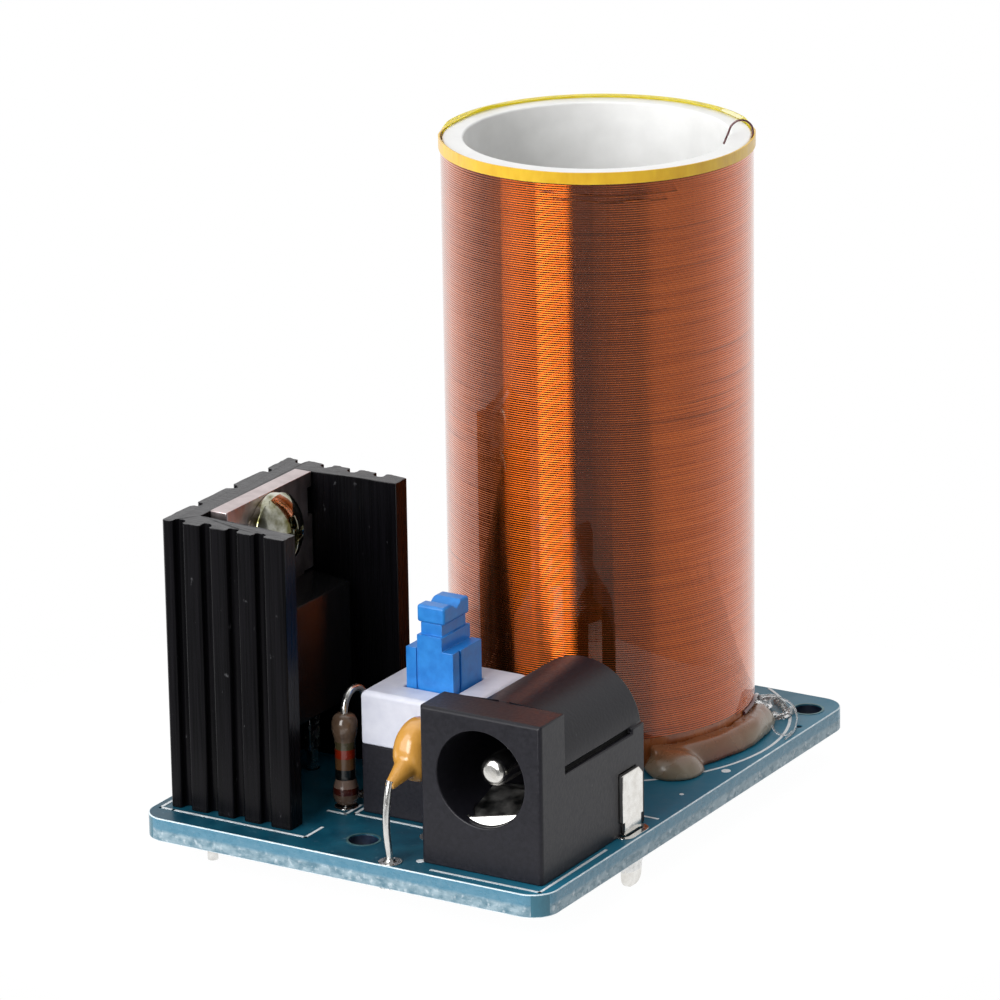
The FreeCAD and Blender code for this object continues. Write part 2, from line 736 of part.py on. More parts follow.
def transistor_case():
    """Moulded case around the tongue, with sides that draw in towards the front."""
    half = case_width / 2
    drawn = half - case_draft
    back = Part.makePolygon([Vector(sink_face, transistor_y + y, z) for y, z in
                             ((-half, tab_low), (half, tab_low), (half, case_top), (-half, case_top),
                              (-half, tab_low))])
    front = Part.makePolygon([Vector(case_front, transistor_y + y, z) for y, z in
                              ((-drawn, tab_low + case_draft), (drawn, tab_low + case_draft),
                               (drawn, case_top - case_draft), (-drawn, case_top - case_draft),
                               (-drawn, tab_low + case_draft))])
    case = Part.makeLoft([back, front], True, True)
    return case.cut([transistor_tab()] + transistor_legs())


def transistor_legs():
    """Three flat legs with a wide shoulder under the case."""
    legs = []
    shoulder_low = top + leg_shoulder_rise
    half_thick = leg_thickness / 2
    for y in leg_ys:
        leg = box(leg_x - half_thick, leg_x + half_thick, y - leg_width / 2, y + leg_width / 2, 0,
                  tab_low + leg_root)
        shoulder = box(leg_x - half_thick, leg_x + half_thick, y - leg_shoulder_width / 2,
                       y + leg_shoulder_width / 2, shoulder_low, tab_low)
        legs.append(leg.fuse(shoulder).removeSplitter())
    return legs


def clamp_screw():
    """Cross-recessed pan-head screw that clamps the tab to the heat sink."""
    seat = Vector(tab_front, transistor_y, screw_z)
    rim = Part.makeCylinder(screw_head_radius, screw_head_rim, seat, AXIS_X)
    dome_height = screw_head_height - screw_head_rim
    dome_radius = (screw_head_radius ** 2 + dome_height ** 2) / (2 * dome_height)
    centre = seat + Vector(screw_head_height - dome_radius, 0, 0)
    space = Part.makeCylinder(screw_head_radius, dome_height, seat + Vector(screw_head_rim, 0, 0), AXIS_X)
    dome = Part.makeSphere(dome_radius, centre).common(space)
    shank = Part.makeCylinder(screw_radius, sink_web + tab_thickness,
                              Vector(sink_left, transistor_y, screw_z), AXIS_X)
    screw = rim.fuse([dome, shank]).removeSplitter()
    crown = tab_front + screw_head_height
    wide, long = recess_width / 2, recess_length / 2
    cross = [box(crown - recess_depth, crown, transistor_y - half_y, transistor_y + half_y,
                 screw_z - half_z, screw_z + half_z) for half_y, half_z in ((wide, long), (long, wide))]
    return screw.cut(cross)


def jack_centre_pin():
    """Centre pin, the thinner shank through the housing, and its flat terminal behind."""
    tip = jack_front + centre_pin_setback
    pin_end = jack_front + jack_bore_depth - centre_pin_floor_gap
    pin = Part.makeCylinder(centre_pin_radius, pin_end - tip, Vector(jack_x, tip, jack_axis_z), AXIS_Y)
    pin = round_edges(pin, centre_pin_rounding, lambda bounds: bounds.YMax < tip + NEAR)
    shank = Part.makeCylinder(centre_pin_shank_radius, jack_rear - pin_end,
                              Vector(jack_x, pin_end, jack_axis_z), AXIS_Y)
    half = rear_terminal_width / 2
    plate = box(jack_x - half, jack_x + half, jack_rear, jack_rear + contact_thickness, 0,
                jack_axis_z + rear_terminal_rise)
    return pin.fuse([shank, plate]).removeSplitter()


def leaf_profile(grow):
    """Side outline of the sleeve contact's leaf, thickened all round by a clearance."""
    low = bore_low + sleeve_leaf_end_rise
    high = bore_low + sleeve_leaf_crest_rise
    front = jack_front + sleeve_leaf_front
    back = sleeve_leg_y + contact_thickness / 2
    leg_front = sleeve_leg_y - contact_thickness / 2
    thick = contact_thickness
    crest = (front + back) / 2
    return [(front - grow, low - thick - grow), (crest, high - thick - grow), (leg_front - grow, low - thick),
            (leg_front - grow, low - 2 * thick), (back + grow, low - 2 * thick), (back + grow, low),
            (crest, high + grow), (front - grow, low + grow)]


def sleeve_contact(grow):
    """The leaf and leg, grown by a clearance to make the space for them."""
    half_leaf = sleeve_leaf_width / 2 + grow
    half_leg = sleeve_leg_width / 2 + grow
    half_thick = contact_thickness / 2 + grow
    points = [Vector(jack_x - half_leaf, y, z) for y, z in leaf_profile(grow)]
    leaf = prism(points, Vector(2 * half_leaf, 0, 0))
    leg = box(jack_x - half_leg, jack_x + half_leg, sleeve_leg_y - half_thick, sleeve_leg_y + half_thick,
              0, bore_low + sleeve_leaf_end_rise - contact_thickness)
    return leaf.fuse(leg).removeSplitter()


def jack_sleeve_contact():
    """Sprung leaf in the floor of the socket that touches the outside of a plug."""
    return sleeve_contact(0)


def side_contact(grow):
    """The side plate, its leg, the tongue inside the bore and what joins them, grown by a clearance."""
    half_thick = contact_thickness / 2 + grow
    half_plate = switch_plate_width / 2 + grow
    half_leg = switch_leg_width / 2
    front = side_leg_y - half_plate
    back = side_leg_y + half_plate
    low = top + switch_plate_low - grow
    high = top + switch_plate_high + grow
    outline = [(front, low), (back, low), (back, high - switch_plate_chamfer),
               (back - switch_plate_chamfer, high), (front, high)]
    plate = prism([Vector(side_plate_x - half_thick, y, z) for y, z in outline],
                  Vector(2 * half_thick, 0, 0))
    leg = box(side_plate_x - half_thick, side_plate_x + half_thick, side_leg_y - half_leg - grow,
              side_leg_y + half_leg + grow, 0, top + switch_plate_low)
    tongue_x = jack_x + jack_bore_radius - tongue_gap - tongue_thickness
    bridge_y = jack_front + jack_bore_depth
    tongue = box(tongue_x - grow, tongue_x + tongue_thickness + grow, jack_front + tongue_front - grow,
                 bridge_y + contact_thickness, jack_axis_z - tongue_below_axis - grow,
                 jack_axis_z + tongue_above_axis + grow)
    bridge_low = high - contact_thickness - 2 * grow
    riser = box(tongue_x - grow, tongue_x + tongue_thickness + grow, bridge_y - grow,
                bridge_y + contact_thickness + grow, bridge_low, jack_axis_z + tongue_above_axis + grow)
    bridge = box(tongue_x - grow, side_plate_x + half_thick, bridge_y - grow,
                 bridge_y + contact_thickness + grow, bridge_low, high)
    return plate.fuse([leg, tongue, riser, bridge]).removeSplitter()


def jack_switch_contact():
    """Side contact that a plug pushes away from the leaf, with its leg on the right."""
    return side_contact(0)


def jack_housing():
    """Moulded socket: square flange, square lower body and round barrel, bored for a plug."""
    flange = box(jack_left, jack_right, jack_front, jack_front + jack_flange, top, jack_top)
    flange = round_edges(flange, jack_rounding,
                         lambda bounds: bounds.ZMax > top + NEAR and bounds.YMax < jack_front + NEAR)
    body = box(jack_left, jack_right, jack_front + jack_flange, jack_rear, top, jack_body_top)
    barrel_start = jack_front + jack_flange
    barrel = Part.makeCylinder(jack_barrel_radius, jack_rear - barrel_start,
                               Vector(jack_x, barrel_start, jack_axis_z), AXIS_Y)
    housing = flange.fuse([body, barrel]).removeSplitter()
    bore = Part.makeCylinder(jack_bore_radius, jack_bore_depth,
                             Vector(jack_x, jack_front, jack_axis_z), AXIS_Y)
    shank_hole = Part.makeCylinder(centre_pin_shank_radius + centre_pin_clearance, jack_body_length,
                                   Vector(jack_x, jack_front, jack_axis_z), AXIS_Y)
    grooves = [box(x, x + jack_groove_depth, barrel_start, jack_rear - jack_groove_end,
                   jack_body_top - jack_groove_height, jack_body_top)
               for x in (jack_left, jack_right - jack_groove_depth)]
    side_space = side_contact(contact_clearance)
    floor_space = sleeve_contact(contact_clearance)
    return housing.cut([bore, shank_hole, side_space, floor_space] + grooves)


def switch_base():
    """Open box that holds the terminals, the spring and the latch pin."""
    shell = square_block(switch_x, switch_y, switch_width, top, base_top)
    cavity = square_block(switch_x, switch_y, switch_width - 2 * base_wall, floor_z, base_top)
    wall_y = switch_y + switch_width / 2 - base_wall
    pivot_hole = Part.makeCylinder(latch_radius + latch_clearance, base_wall,
                                   Vector(switch_x, wall_y, latch_pivot_z), AXIS_Y)
    return shell.cut([cavity, pivot_hole] + switch_terminals())


def switch_cover():
    """Cap over the base, with a square opening for the plunger and a skirt inside the base."""
    shell = square_block(switch_x, switch_y, switch_width, base_top, cover_top_z)
    shell = round_edges(shell, cover_rounding, lambda bounds: bounds.ZMin > cover_top_z - NEAR)
    cavity = square_block(switch_x, switch_y, switch_width - 2 * cover_wall, base_top,
                          cover_top_z - cover_top)
    skirt_outer = switch_width - 2 * base_wall - 2 * skirt_clearance
    skirt = square_block(switch_x, switch_y, skirt_outer, base_top - skirt_depth, cover_top_z - cover_top)
    inside = square_block(switch_x, switch_y, skirt_outer - 2 * skirt_wall, base_top - skirt_depth,
                          cover_top_z - cover_top)
    opening = square_block(switch_x, switch_y, stem_width + 2 * stem_clearance, base_top, cover_top_z)
    return shell.cut(cavity).fuse(skirt).cut([inside, opening]).removeSplitter()


def switch_plunger():
    """Sliding stem: foot with spring pocket and cam slot, flange, square stem, and notched head."""
    foot = square_block(switch_x, switch_y, foot_width, foot_low, flange_low)
    flange = square_block(switch_x, switch_y, flange_width, flange_low, flange_top)
    stem = square_block(switch_x, switch_y, stem_width, flange_top, stem_top)
    block_top = stem_top + block_rise
    neck_top = block_top + neck_rise
    head_top = neck_top + head_rise
    half_stem = stem_width / 2
    block = box(switch_x - block_width / 2, switch_x + block_width / 2, switch_y - half_stem,
                switch_y + half_stem, stem_top, block_top)
    neck = box(switch_x - neck_width / 2, switch_x + neck_width / 2, switch_y - neck_length / 2,
               switch_y + neck_length / 2, block_top, neck_top)
    head = box(switch_x - head_width / 2, switch_x + head_width / 2, switch_y - head_length / 2,
               switch_y + head_length / 2, neck_top, head_top)
    head = head.makeFillet(head_rounding, head.Edges)
    notch_half = head_notch_width / 2
    notch = prism([Vector(switch_x - head_width, switch_y - notch_half, head_top),
                   Vector(switch_x - head_width, switch_y, head_top - head_notch_depth),
                   Vector(switch_x - head_width, switch_y + notch_half, head_top)],
                  Vector(2 * head_width, 0, 0))
    plunger = foot.fuse([flange, stem, block, neck, head.cut(notch)]).removeSplitter()
    cuts = []
    aside = stem_groove_offset
    for dx, dy in ((-aside, -half_stem), (aside, half_stem), (half_stem, -aside), (-half_stem, aside)):
        cuts.append(square_block(switch_x + dx, switch_y + dy, stem_groove,
                                 cover_top_z - plunger_travel, stem_top))
    cuts.append(Part.makeCylinder(spring_pocket_radius, flange_low - foot_low,
                                  Vector(switch_x, switch_y, foot_low)))
    slot_back = switch_y + foot_width / 2
    cuts.append(box(switch_x - cam_slot_width / 2, switch_x + cam_slot_width / 2,
                    slot_back - cam_slot_depth, slot_back, cam_slot_low, cam_slot_high))
    return plunger.cut(cuts)


def switch_spring():
    """Return spring between the floor of the base and the plunger's pocket."""
    height = flange_low - floor_z - 2 * spring_wire_radius
    helix = Part.makeHelix(height / spring_turns, height, spring_radius)
    start = Vector(spring_radius, 0, 0)
    section = Part.Wire(Part.makeCircle(spring_wire_radius, start, AXIS_Y))
    spring = Part.Wire(helix).makePipeShell([section], True, True)
    spring.translate(Vector(switch_x, switch_y, floor_z + spring_wire_radius))
    return spring


def switch_terminals():
    """Six flat terminals in two rows, which stand up inside the base as fixed contacts."""
    terminals = []
    for side in (-1, 1):
        x = switch_x + side * terminal_row
        for y in terminal_ys:
            terminals.append(box(x - terminal_thickness / 2, x + terminal_thickness / 2,
                                 y - terminal_width / 2, y + terminal_width / 2,
                                 underside - short_lead_drop, floor_z + terminal_rise))
    return terminals


def switch_wipers():
    """Two bridging contacts on the plunger's foot, one for each row of terminals."""
    wipers = []
    length = terminal_pitch + terminal_width
    near = foot_width / 2
    reach = terminal_row - terminal_thickness / 2 - wiper_gap
    bump_radius = reach - near - wiper_thickness / 2
    for side in (-1, 1):
        inner = switch_x + side * near
        middle = inner + side * wiper_thickness / 2
        x0, x1 = sorted((inner, inner + side * wiper_thickness))
        strip = box(x0, x1, switch_y - length / 2, switch_y + length / 2, foot_low, foot_low + wiper_height)
        x0, x1 = sorted((inner, switch_x + side * reach))
        keep = box(x0, x1, switch_y - length / 2, switch_y + length / 2, foot_low, foot_low + wiper_height)
        bumps = [Part.makeCylinder(bump_radius, wiper_height,
                                   Vector(middle, switch_y + end * (length / 2 - bump_radius), foot_low))
                 for end in (-1, 1)]
        wipers.append(strip.fuse([bump.common(keep) for bump in bumps]).removeSplitter())
    return wipers


def switch_latch_pin():
    """Cranked wire pin: it swings in the base's rear wall and its tip rides in the plunger's cam slot."""
    wall_end = switch_y + switch_width / 2 - latch_clearance
    low_end = Vector(switch_x, wall_end, latch_pivot_z)
    low_knee = Vector(switch_x, latch_y, latch_pivot_z)
    high_knee = Vector(switch_x, latch_y, latch_tip_z)
    tip = Vector(switch_x, switch_y + foot_width / 2 - latch_reach, latch_tip_z)
    bars = [rod(latch_radius, low_knee, low_end), rod(latch_radius, high_knee, tip)]
    knees = [Part.makeSphere(latch_radius, low_knee), Part.makeSphere(latch_radius, high_knee)]
    return rod(latch_radius, low_knee, high_knee).fuse(bars + knees).removeSplitter()


def resistor_body():
    """Upright dog-bone resistor body."""
    caps = resistor_cap_radius
    waist = resistor_waist_radius
    cap_end = resistor_cap_length
    slope = caps - waist
    profile = [Vector(0, 0, 0), Vector(caps, 0, 0), Vector(caps, 0, cap_end),
               Vector(waist, 0, cap_end + slope), Vector(waist, 0, resistor_length - cap_end - slope),
               Vector(caps, 0, resistor_length - cap_end), Vector(caps, 0, resistor_length),
               Vector(0, 0, resistor_length)]
    body = Part.Face(Part.makePolygon(profile + [profile[0]])).revolve(Vector(0, 0, 0), AXIS_Z, 360)
    body = round_edges(body, resistor_end_rounding,
                       lambda bounds: bounds.ZMax < NEAR or bounds.ZMin > resistor_length - NEAR)
    body.translate(Vector(resistor_x, resistor_y, resistor_low))
    return body


def resistor_leads():
    """The straight lower lead, and the upper lead bent over and down beside the body."""
    tip = underside - short_lead_drop
    lower = rod(resistor_lead_radius, Vector(resistor_x, resistor_y, tip),
                Vector(resistor_x, resistor_y, resistor_low))
    bend_z = resistor_high + resistor_lead_rise
    bend_radius = resistor_pitch / 2
    far_y = resistor_y + resistor_pitch
    turn = (Vector(resistor_x, resistor_y, bend_z),
            Vector(resistor_x, resistor_y + bend_radius, bend_z + bend_radius),
            Vector(resistor_x, far_y, bend_z))
    upper = hairpin(resistor_lead_radius, Vector(resistor_x, resistor_y, resistor_high), *turn,
                    Vector(resistor_x, far_y, tip))
    return [lower, upper]


def capacitor_body():
    """Dipped disc with a round rim, set back from its leads, with a resin skirt down each lead."""
    centre = Vector(capacitor_x, capacitor_body_y, top + capacitor_centre_height)
    side = centre - Vector(capacitor_thickness / 2, 0, 0)
    disc = Part.makeCylinder(capacitor_radius, capacitor_thickness, side, AXIS_X)
    disc = round_edges(disc, (capacitor_thickness - capacitor_rim_flat) / 2,
                       lambda bounds: bounds.XLength < NEAR)
    skirts = []
    for y, skirt_low in capacitor_skirt_feet:
        foot = Vector(capacitor_x, y, skirt_low)
        run = centre - foot
        skirts.append(Part.makeCone(capacitor_skirt_radius, capacitor_skirt_spread,
                                   capacitor_skirt_run * run.Length, foot, run))
    return disc.fuse(skirts).cut(capacitor_leads()).removeSplitter()


def capacitor_leads():
    """Two straight leads, cut almost flush under the board."""
    tip = underside - flush_lead_drop
    return [rod(capacitor_lead_radius, Vector(capacitor_x, y, tip),
                Vector(capacitor_x, y, skirt_low + capacitor_lead_entry))
            for y, skirt_low in capacitor_skirt_feet]


SUB_PARTS = [circuit_board, solder_pads, solder_joints, driver_tracks, primary_coil_track,
             coil_former, base_tape, rim_tape, secondary_winding, winding_top_lead, winding_bottom_lead,
             hot_glue_fillet, clear_glue_bead,
             heat_sink, heat_sink_pins, transistor_tab, transistor_case, transistor_legs, clamp_screw,
             jack_housing, jack_centre_pin, jack_sleeve_contact, jack_switch_contact,
             switch_base, switch_cover, switch_plunger, switch_spring, switch_terminals, switch_wipers,
             switch_latch_pin, resistor_body, resistor_leads, capacitor_body, capacitor_leads]


def write_parts():
    """Write one STEP file for each sub-part, named after its function."""
    os.makedirs("parts", exist_ok=True)
    for make in SUB_PARTS:
        shape = make()
        if isinstance(shape, list):
            shape = Part.makeCompound(shape)
        shape.exportStep(f"parts/{make.__name__}.step")


write_parts()
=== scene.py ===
import bpy
import math
from mathutils import Matrix, Vector, noise


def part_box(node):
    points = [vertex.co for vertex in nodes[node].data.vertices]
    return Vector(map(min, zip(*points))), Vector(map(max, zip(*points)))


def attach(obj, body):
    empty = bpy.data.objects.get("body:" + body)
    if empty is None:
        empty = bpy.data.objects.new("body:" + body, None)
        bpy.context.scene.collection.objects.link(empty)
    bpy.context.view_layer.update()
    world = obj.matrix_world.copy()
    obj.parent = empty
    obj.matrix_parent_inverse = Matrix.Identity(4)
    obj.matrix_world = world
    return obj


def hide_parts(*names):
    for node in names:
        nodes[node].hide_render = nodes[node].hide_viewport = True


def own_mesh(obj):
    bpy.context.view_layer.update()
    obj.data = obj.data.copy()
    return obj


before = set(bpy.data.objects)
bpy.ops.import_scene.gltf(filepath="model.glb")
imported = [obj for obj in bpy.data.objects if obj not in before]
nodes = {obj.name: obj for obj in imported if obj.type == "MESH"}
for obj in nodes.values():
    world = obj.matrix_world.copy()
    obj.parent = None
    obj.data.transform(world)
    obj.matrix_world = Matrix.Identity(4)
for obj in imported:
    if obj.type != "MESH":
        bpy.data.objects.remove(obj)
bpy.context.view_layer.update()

# Looks of the desktop resonant transformer. Sizes below are in millimetres.
MM = 0.001
MERGE = 0.0005                      # corners closer than this are one corner
FLAT_ANGLE = 1.0                    # faces that meet at less than this are one flat face
EDGE_ANGLE = 30.0                   # edges sharper than this are rounded
NUDGE = 0.002                       # a corner this near to a level is on it
BORE_RISE = 6.45                    # middle of the socket's bore above the housing's foot


def mm(*values):
    """Millimetres to metres: one length, or a point."""
    return values[0] * MM if len(values) == 1 else Vector(values) * MM


def box_mm(node):
    """The two corners of a CAD node's box in millimetres."""
    low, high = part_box(node)
    return low / MM, high / MM


# ---- places taken from the CAD nodes' boxes ----
board_low, board_high = box_mm("circuit_board")
TOP = board_high.z
UNDER = board_low.z
former_low, former_high = box_mm("coil_former")
COIL_X = (former_low.x + former_high.x) / 2
COIL_Y = (former_low.y + former_high.y) / 2
FORMER_R = (former_high.x - former_low.x) / 2
winding_low, winding_high = box_mm("secondary_winding")
WINDING_R = (winding_high.x - winding_low.x) / 2
rim_low, rim_high = box_mm("rim_tape")
RIM_R = (rim_high.x - rim_low.x) / 2
base_low, base_high = box_mm("base_tape")
jack_low, jack_high = box_mm("jack_housing")
JACK_X = (jack_low.x + jack_high.x) / 2
JACK_Z = jack_low.z + BORE_RISE
pin_low, _ = box_mm("jack_centre_pin")
sink_low, sink_high = box_mm("heat_sink")
resistor_low, resistor_high = box_mm("resistor_body")
RESISTOR_X = (resistor_low.x + resistor_high.x) / 2
RESISTOR_Y = (resistor_low.y + resistor_high.y) / 2


# ---- handling pieces ----
def put_down():
    """Leave edit mode and select nothing."""
    active = bpy.context.view_layer.objects.active
    if active and active.mode != "OBJECT":
        bpy.ops.object.mode_set(mode="OBJECT")
    bpy.ops.object.select_all(action="DESELECT")


def pick_up(*pieces):
    """Select these pieces alone, the first of them active."""
    put_down()
    for piece in pieces:
        piece.select_set(True)
    bpy.context.view_layer.objects.active = pieces[0]


def open_all(piece):
    """Enter edit mode with the whole piece selected."""
    pick_up(piece)
    bpy.ops.object.mode_set(mode="EDIT")
    bpy.ops.mesh.select_mode(type="VERT")
    bpy.ops.mesh.select_all(action="SELECT")


def face_outward(piece):
    """Turn every face of a closed piece outward."""
    open_all(piece)
    bpy.ops.mesh.normals_make_consistent(inside=False)
    put_down()


def choose(piece, kind, test):
    """Enter edit mode with only those faces, edges or corners selected that a test picks, in millimetres."""
    pick_up(piece)
    bpy.ops.object.mode_set(mode="EDIT")
    bpy.ops.mesh.select_mode(type=kind)
    bpy.ops.mesh.select_all(action="DESELECT")
    bpy.ops.object.mode_set(mode="OBJECT")
    mesh = piece.data
    if kind == "FACE":
        for face in mesh.polygons:
            face.select = test(face.center / MM)
    elif kind == "EDGE":
        for edge in mesh.edges:
            start, end = (mesh.vertices[index].co / MM for index in edge.vertices)
            edge.select = test(start, end)
    else:
        for corner in mesh.vertices:
            corner.select = test(corner.co / MM)
    bpy.ops.object.mode_set(mode="EDIT")


def reshape(piece, rule):
    """Move the corners for which a rule, in millimetres, gives a new place."""
    for corner in piece.data.vertices:
        place = rule(corner.co / MM)
        if place is not None:
            corner.co = place * MM
    piece.data.update()


def settle(piece):
    """Put a piece's place, turn and size into its mesh."""
    pick_up(piece)
    bpy.ops.object.transform_apply(location=True, rotation=True, scale=True)
    return piece


def new_piece(name):
    """Name the primitive that was just added."""
    piece = bpy.context.view_layer.objects.active
    piece.name = name
    piece.data.name = name
    return piece


def apply_modifier(piece, kind, **settings):
    """Add a modifier with these settings and apply it."""
    modifier = piece.modifiers.new(kind.lower(), kind)
    for setting, value in settings.items():
        setattr(modifier, setting, value)
    pick_up(piece)
    bpy.ops.object.modifier_apply(modifier=modifier.name)


def copy_of(node, name):
    """A merged copy of a CAD node's mesh with its flat faces whole again."""
    piece = bpy.data.objects.new(name, nodes[node].data.copy())
    piece.data.name = name
    bpy.context.scene.collection.objects.link(piece)
    piece.data.materials.clear()
    pick_up(piece)
    bpy.ops.mesh.customdata_custom_splitnormals_clear()
    open_all(piece)
    bpy.ops.mesh.remove_doubles(threshold=mm(MERGE))
    bpy.ops.mesh.dissolve_limited(angle_limit=math.radians(FLAT_ANGLE))
    put_down()
    return piece


def soften(piece, width, segments=3, angle=EDGE_ANGLE):
    """Round every sharp edge, and shade the flats flat and the curves smooth."""
    widened = 10                    # the rounding's own faces meet at up to this much more
    pick_up(piece)
    bpy.ops.object.shade_smooth_by_angle(angle=math.radians(angle))
    if width > 0:
        apply_modifier(piece, "BEVEL", width=mm(width), segments=segments, limit_method="ANGLE",
                       angle_limit=math.radians(angle), use_clamp_overlap=False)
        pick_up(piece)
        bpy.ops.object.shade_smooth_by_angle(angle=math.radians(angle + widened))
    apply_modifier(piece, "WEIGHTED_NORMAL", keep_sharp=True)


def shade_smooth(piece):
    """Shade a whole piece smooth."""
    pick_up(piece)
    bpy.ops.object.shade_smooth()
    return piece


def turned(name, x, y, profile, sides=32, wide_x=1.0, wide_y=1.0):
    """A closed shape turned on an upright axis, from (radius, height) pairs listed from foot to top."""
    put_down()
    radius, height = profile[0]
    bpy.ops.mesh.primitive_circle_add(vertices=sides, radius=mm(radius), fill_type="NGON",
                                      location=mm(x, y, height))
    piece = new_piece(name)
    bpy.ops.object.mode_set(mode="EDIT")
    bpy.ops.mesh.select_all(action="SELECT")
    for (r0, z0), (r1, z1) in zip(profile, profile[1:]):
        bpy.ops.mesh.extrude_region_move(TRANSFORM_OT_translate={"value": mm(0, 0, z1 - z0)})
        share = r1 / r0
        bpy.ops.transform.resize(value=(share, share, 1), center_override=mm(x, y, z1))
    bpy.ops.mesh.select_all(action="SELECT")
    bpy.ops.transform.resize(value=(wide_x, wide_y, 1), center_override=mm(x, y, 0))
    bpy.ops.mesh.normals_make_consistent(inside=False)
    put_down()
    return settle(piece)


def printed_line(x0, y0, x1, y1):
    """One straight printed line on top of the board, along X or Y."""
    put_down()
    low = Vector((min(x0, x1) - LINE / 2, min(y0, y1) - LINE / 2, TOP))
    high = Vector((max(x0, x1) + LINE / 2, max(y0, y1) + LINE / 2, TOP + INK))
    bpy.ops.mesh.primitive_cube_add(size=1, location=(low + high) / 2 * MM)
    line = new_piece("printed_line")
    line.scale = (high - low) * MM
    return settle(line)


def strand(name, points, radius, sides=4):
    """A round wire along a smooth line through a few points, closed at both ends."""
    put_down()
    line = bpy.data.curves.new(name, "CURVE")
    line.dimensions = "3D"
    line.resolution_u = 6
    line.bevel_depth = mm(radius)
    line.bevel_resolution = sides
    line.use_fill_caps = True
    path = line.splines.new("BEZIER")
    path.bezier_points.add(len(points) - 1)
    for knot, point in zip(path.bezier_points, points):
        knot.co = mm(*point)
        knot.handle_left_type = knot.handle_right_type = "AUTO"
    piece = bpy.data.objects.new(name, line)
    bpy.context.scene.collection.objects.link(piece)
    pick_up(piece)
    bpy.ops.object.convert(target="MESH")
    return shade_smooth(bpy.context.view_layer.objects.active)


def joined(pieces, name):
    """Several pieces made one, under a new name."""
    pick_up(*pieces)
    if len(pieces) > 1:
        bpy.ops.object.join()
    pieces[0].name = name
    return pieces[0]


def melted(piece, voxel, rounds):
    """Remesh a piece evenly and smooth it, as poured or dipped things are."""
    apply_modifier(piece, "REMESH", mode="VOXEL", voxel_size=mm(voxel), use_smooth_shade=True)
    apply_modifier(piece, "SMOOTH", factor=0.5, iterations=rounds)


def uneven(piece, height, scale, seed):
    """Push the skin in and out a little, by noise with so many waves to the millimetre."""
    shift = Vector((seed, -seed, seed / 2))
    normals = [corner.normal.copy() for corner in piece.data.vertices]
    for corner, normal in zip(piece.data.vertices, normals):
        corner.co += normal * mm(height) * noise.noise(corner.co / MM * scale + shift)
    piece.data.update()


def turn_angle(point):
    """The angle around the coil's axis of a point, in degrees."""
    return math.degrees(math.atan2(point.y - COIL_Y, point.x - COIL_X))


def around_coil(angle, radius, z):
    """A point at an angle around the coil's axis."""
    turn = math.radians(angle)
    return (COIL_X + radius * math.cos(turn), COIL_Y + radius * math.sin(turn), z)


def coil_reach(point):
    """How far a point is from the coil's axis."""
    return math.hypot(point.x - COIL_X, point.y - COIL_Y)


def drawn_in(point, share):
    """A point at this share of its distance from the coil's axis."""
    return Vector((COIL_X + (point.x - COIL_X) * share, COIL_Y + (point.y - COIL_Y) * share, point.z))


def dress(piece, slot, looks, *replaced, body="board"):
    """Give a finished piece its body, its materials and the nodes it stands for; the slot is not used."""
    for look in looks:
        piece.data.materials.append(LOOKS[look])
    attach(piece, body)
    if replaced:
        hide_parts(*replaced)


def dress_plain(rows, body="board", segments=3, angle=EDGE_ANGLE):
    """Copies of CAD nodes that only need rounded edges, each row's last number, and a finish."""
    for node, name, slot, look, width in rows:
        piece = copy_of(node, name)
        soften(piece, width, segments, angle)
        dress(piece, slot, [look], node, body=body)
    return piece


# ---- shader trees ----
def add_node(tree, kind, inputs, **settings):
    """Add a shader node, set its inputs or link them to other nodes, and give back its outputs."""
    made = tree.nodes.new("ShaderNode" + kind)
    for setting, value in settings.items():
        setattr(made, setting, value)
    for label, value in inputs.items():
        if isinstance(value, bpy.types.NodeSocket):
            tree.links.new(value, made.inputs[label])
        else:
            made.inputs[label].default_value = value
    return made.outputs


def reckon(tree, kind, operation, *values):
    """The outcome of a sum on numbers, kind Math, or on vectors, kind VectorMath."""
    return add_node(tree, kind, dict(enumerate(values)), operation=operation)[0]


def blend(tree, share, under, over):
    """One colour over another, by a share from 0 to 1."""
    return add_node(tree, "Mix", {"Factor": share, "A": under, "B": over}, data_type="RGBA")["Result"]


def ramp_up(tree, value, start, stop):
    """0 below the start and 1 above the stop of a value."""
    return add_node(tree, "MapRange", {"Value": value, "From Min": start, "From Max": stop})["Result"]


def colour_ramp(tree, share, stops, interpolation="LINEAR"):
    """A colour picked by a share from 0 to 1, from (place, colour) stops."""
    made = tree.nodes.new("ShaderNodeValToRGB")
    ramp = made.color_ramp
    ramp.interpolation = interpolation
    while len(ramp.elements) < len(stops):
        ramp.elements.new(0.5)
    for element, (place, colour) in zip(ramp.elements, stops):
        element.position = place
        element.color = (*colour, 1)
    tree.links.new(share, made.inputs["Fac"])
    return made.outputs["Color"]


def split_place(tree, kind):
    """X, Y and Z of a texture coordinate."""
    return add_node(tree, "SeparateXYZ", {"Vector": add_node(tree, "TexCoord", {})[kind]})


COLOUR, NUMBER, VECTOR = "NodeSocketColor", "NodeSocketFloat", "NodeSocketVector"


def effect(name, inputs, outputs):
    """An empty shader group with named inputs and outputs."""
    group = bpy.data.node_groups.new(name, "ShaderNodeTree")
    for label, kind, value in inputs:
        socket = group.interface.new_socket(name=label, in_out="INPUT", socket_type=kind)
        socket.default_value = value
    for label, kind in outputs:
        group.interface.new_socket(name=label, in_out="OUTPUT", socket_type=kind)
    return group, group.nodes.new("NodeGroupInput").outputs, group.nodes.new("NodeGroupOutput").inputs


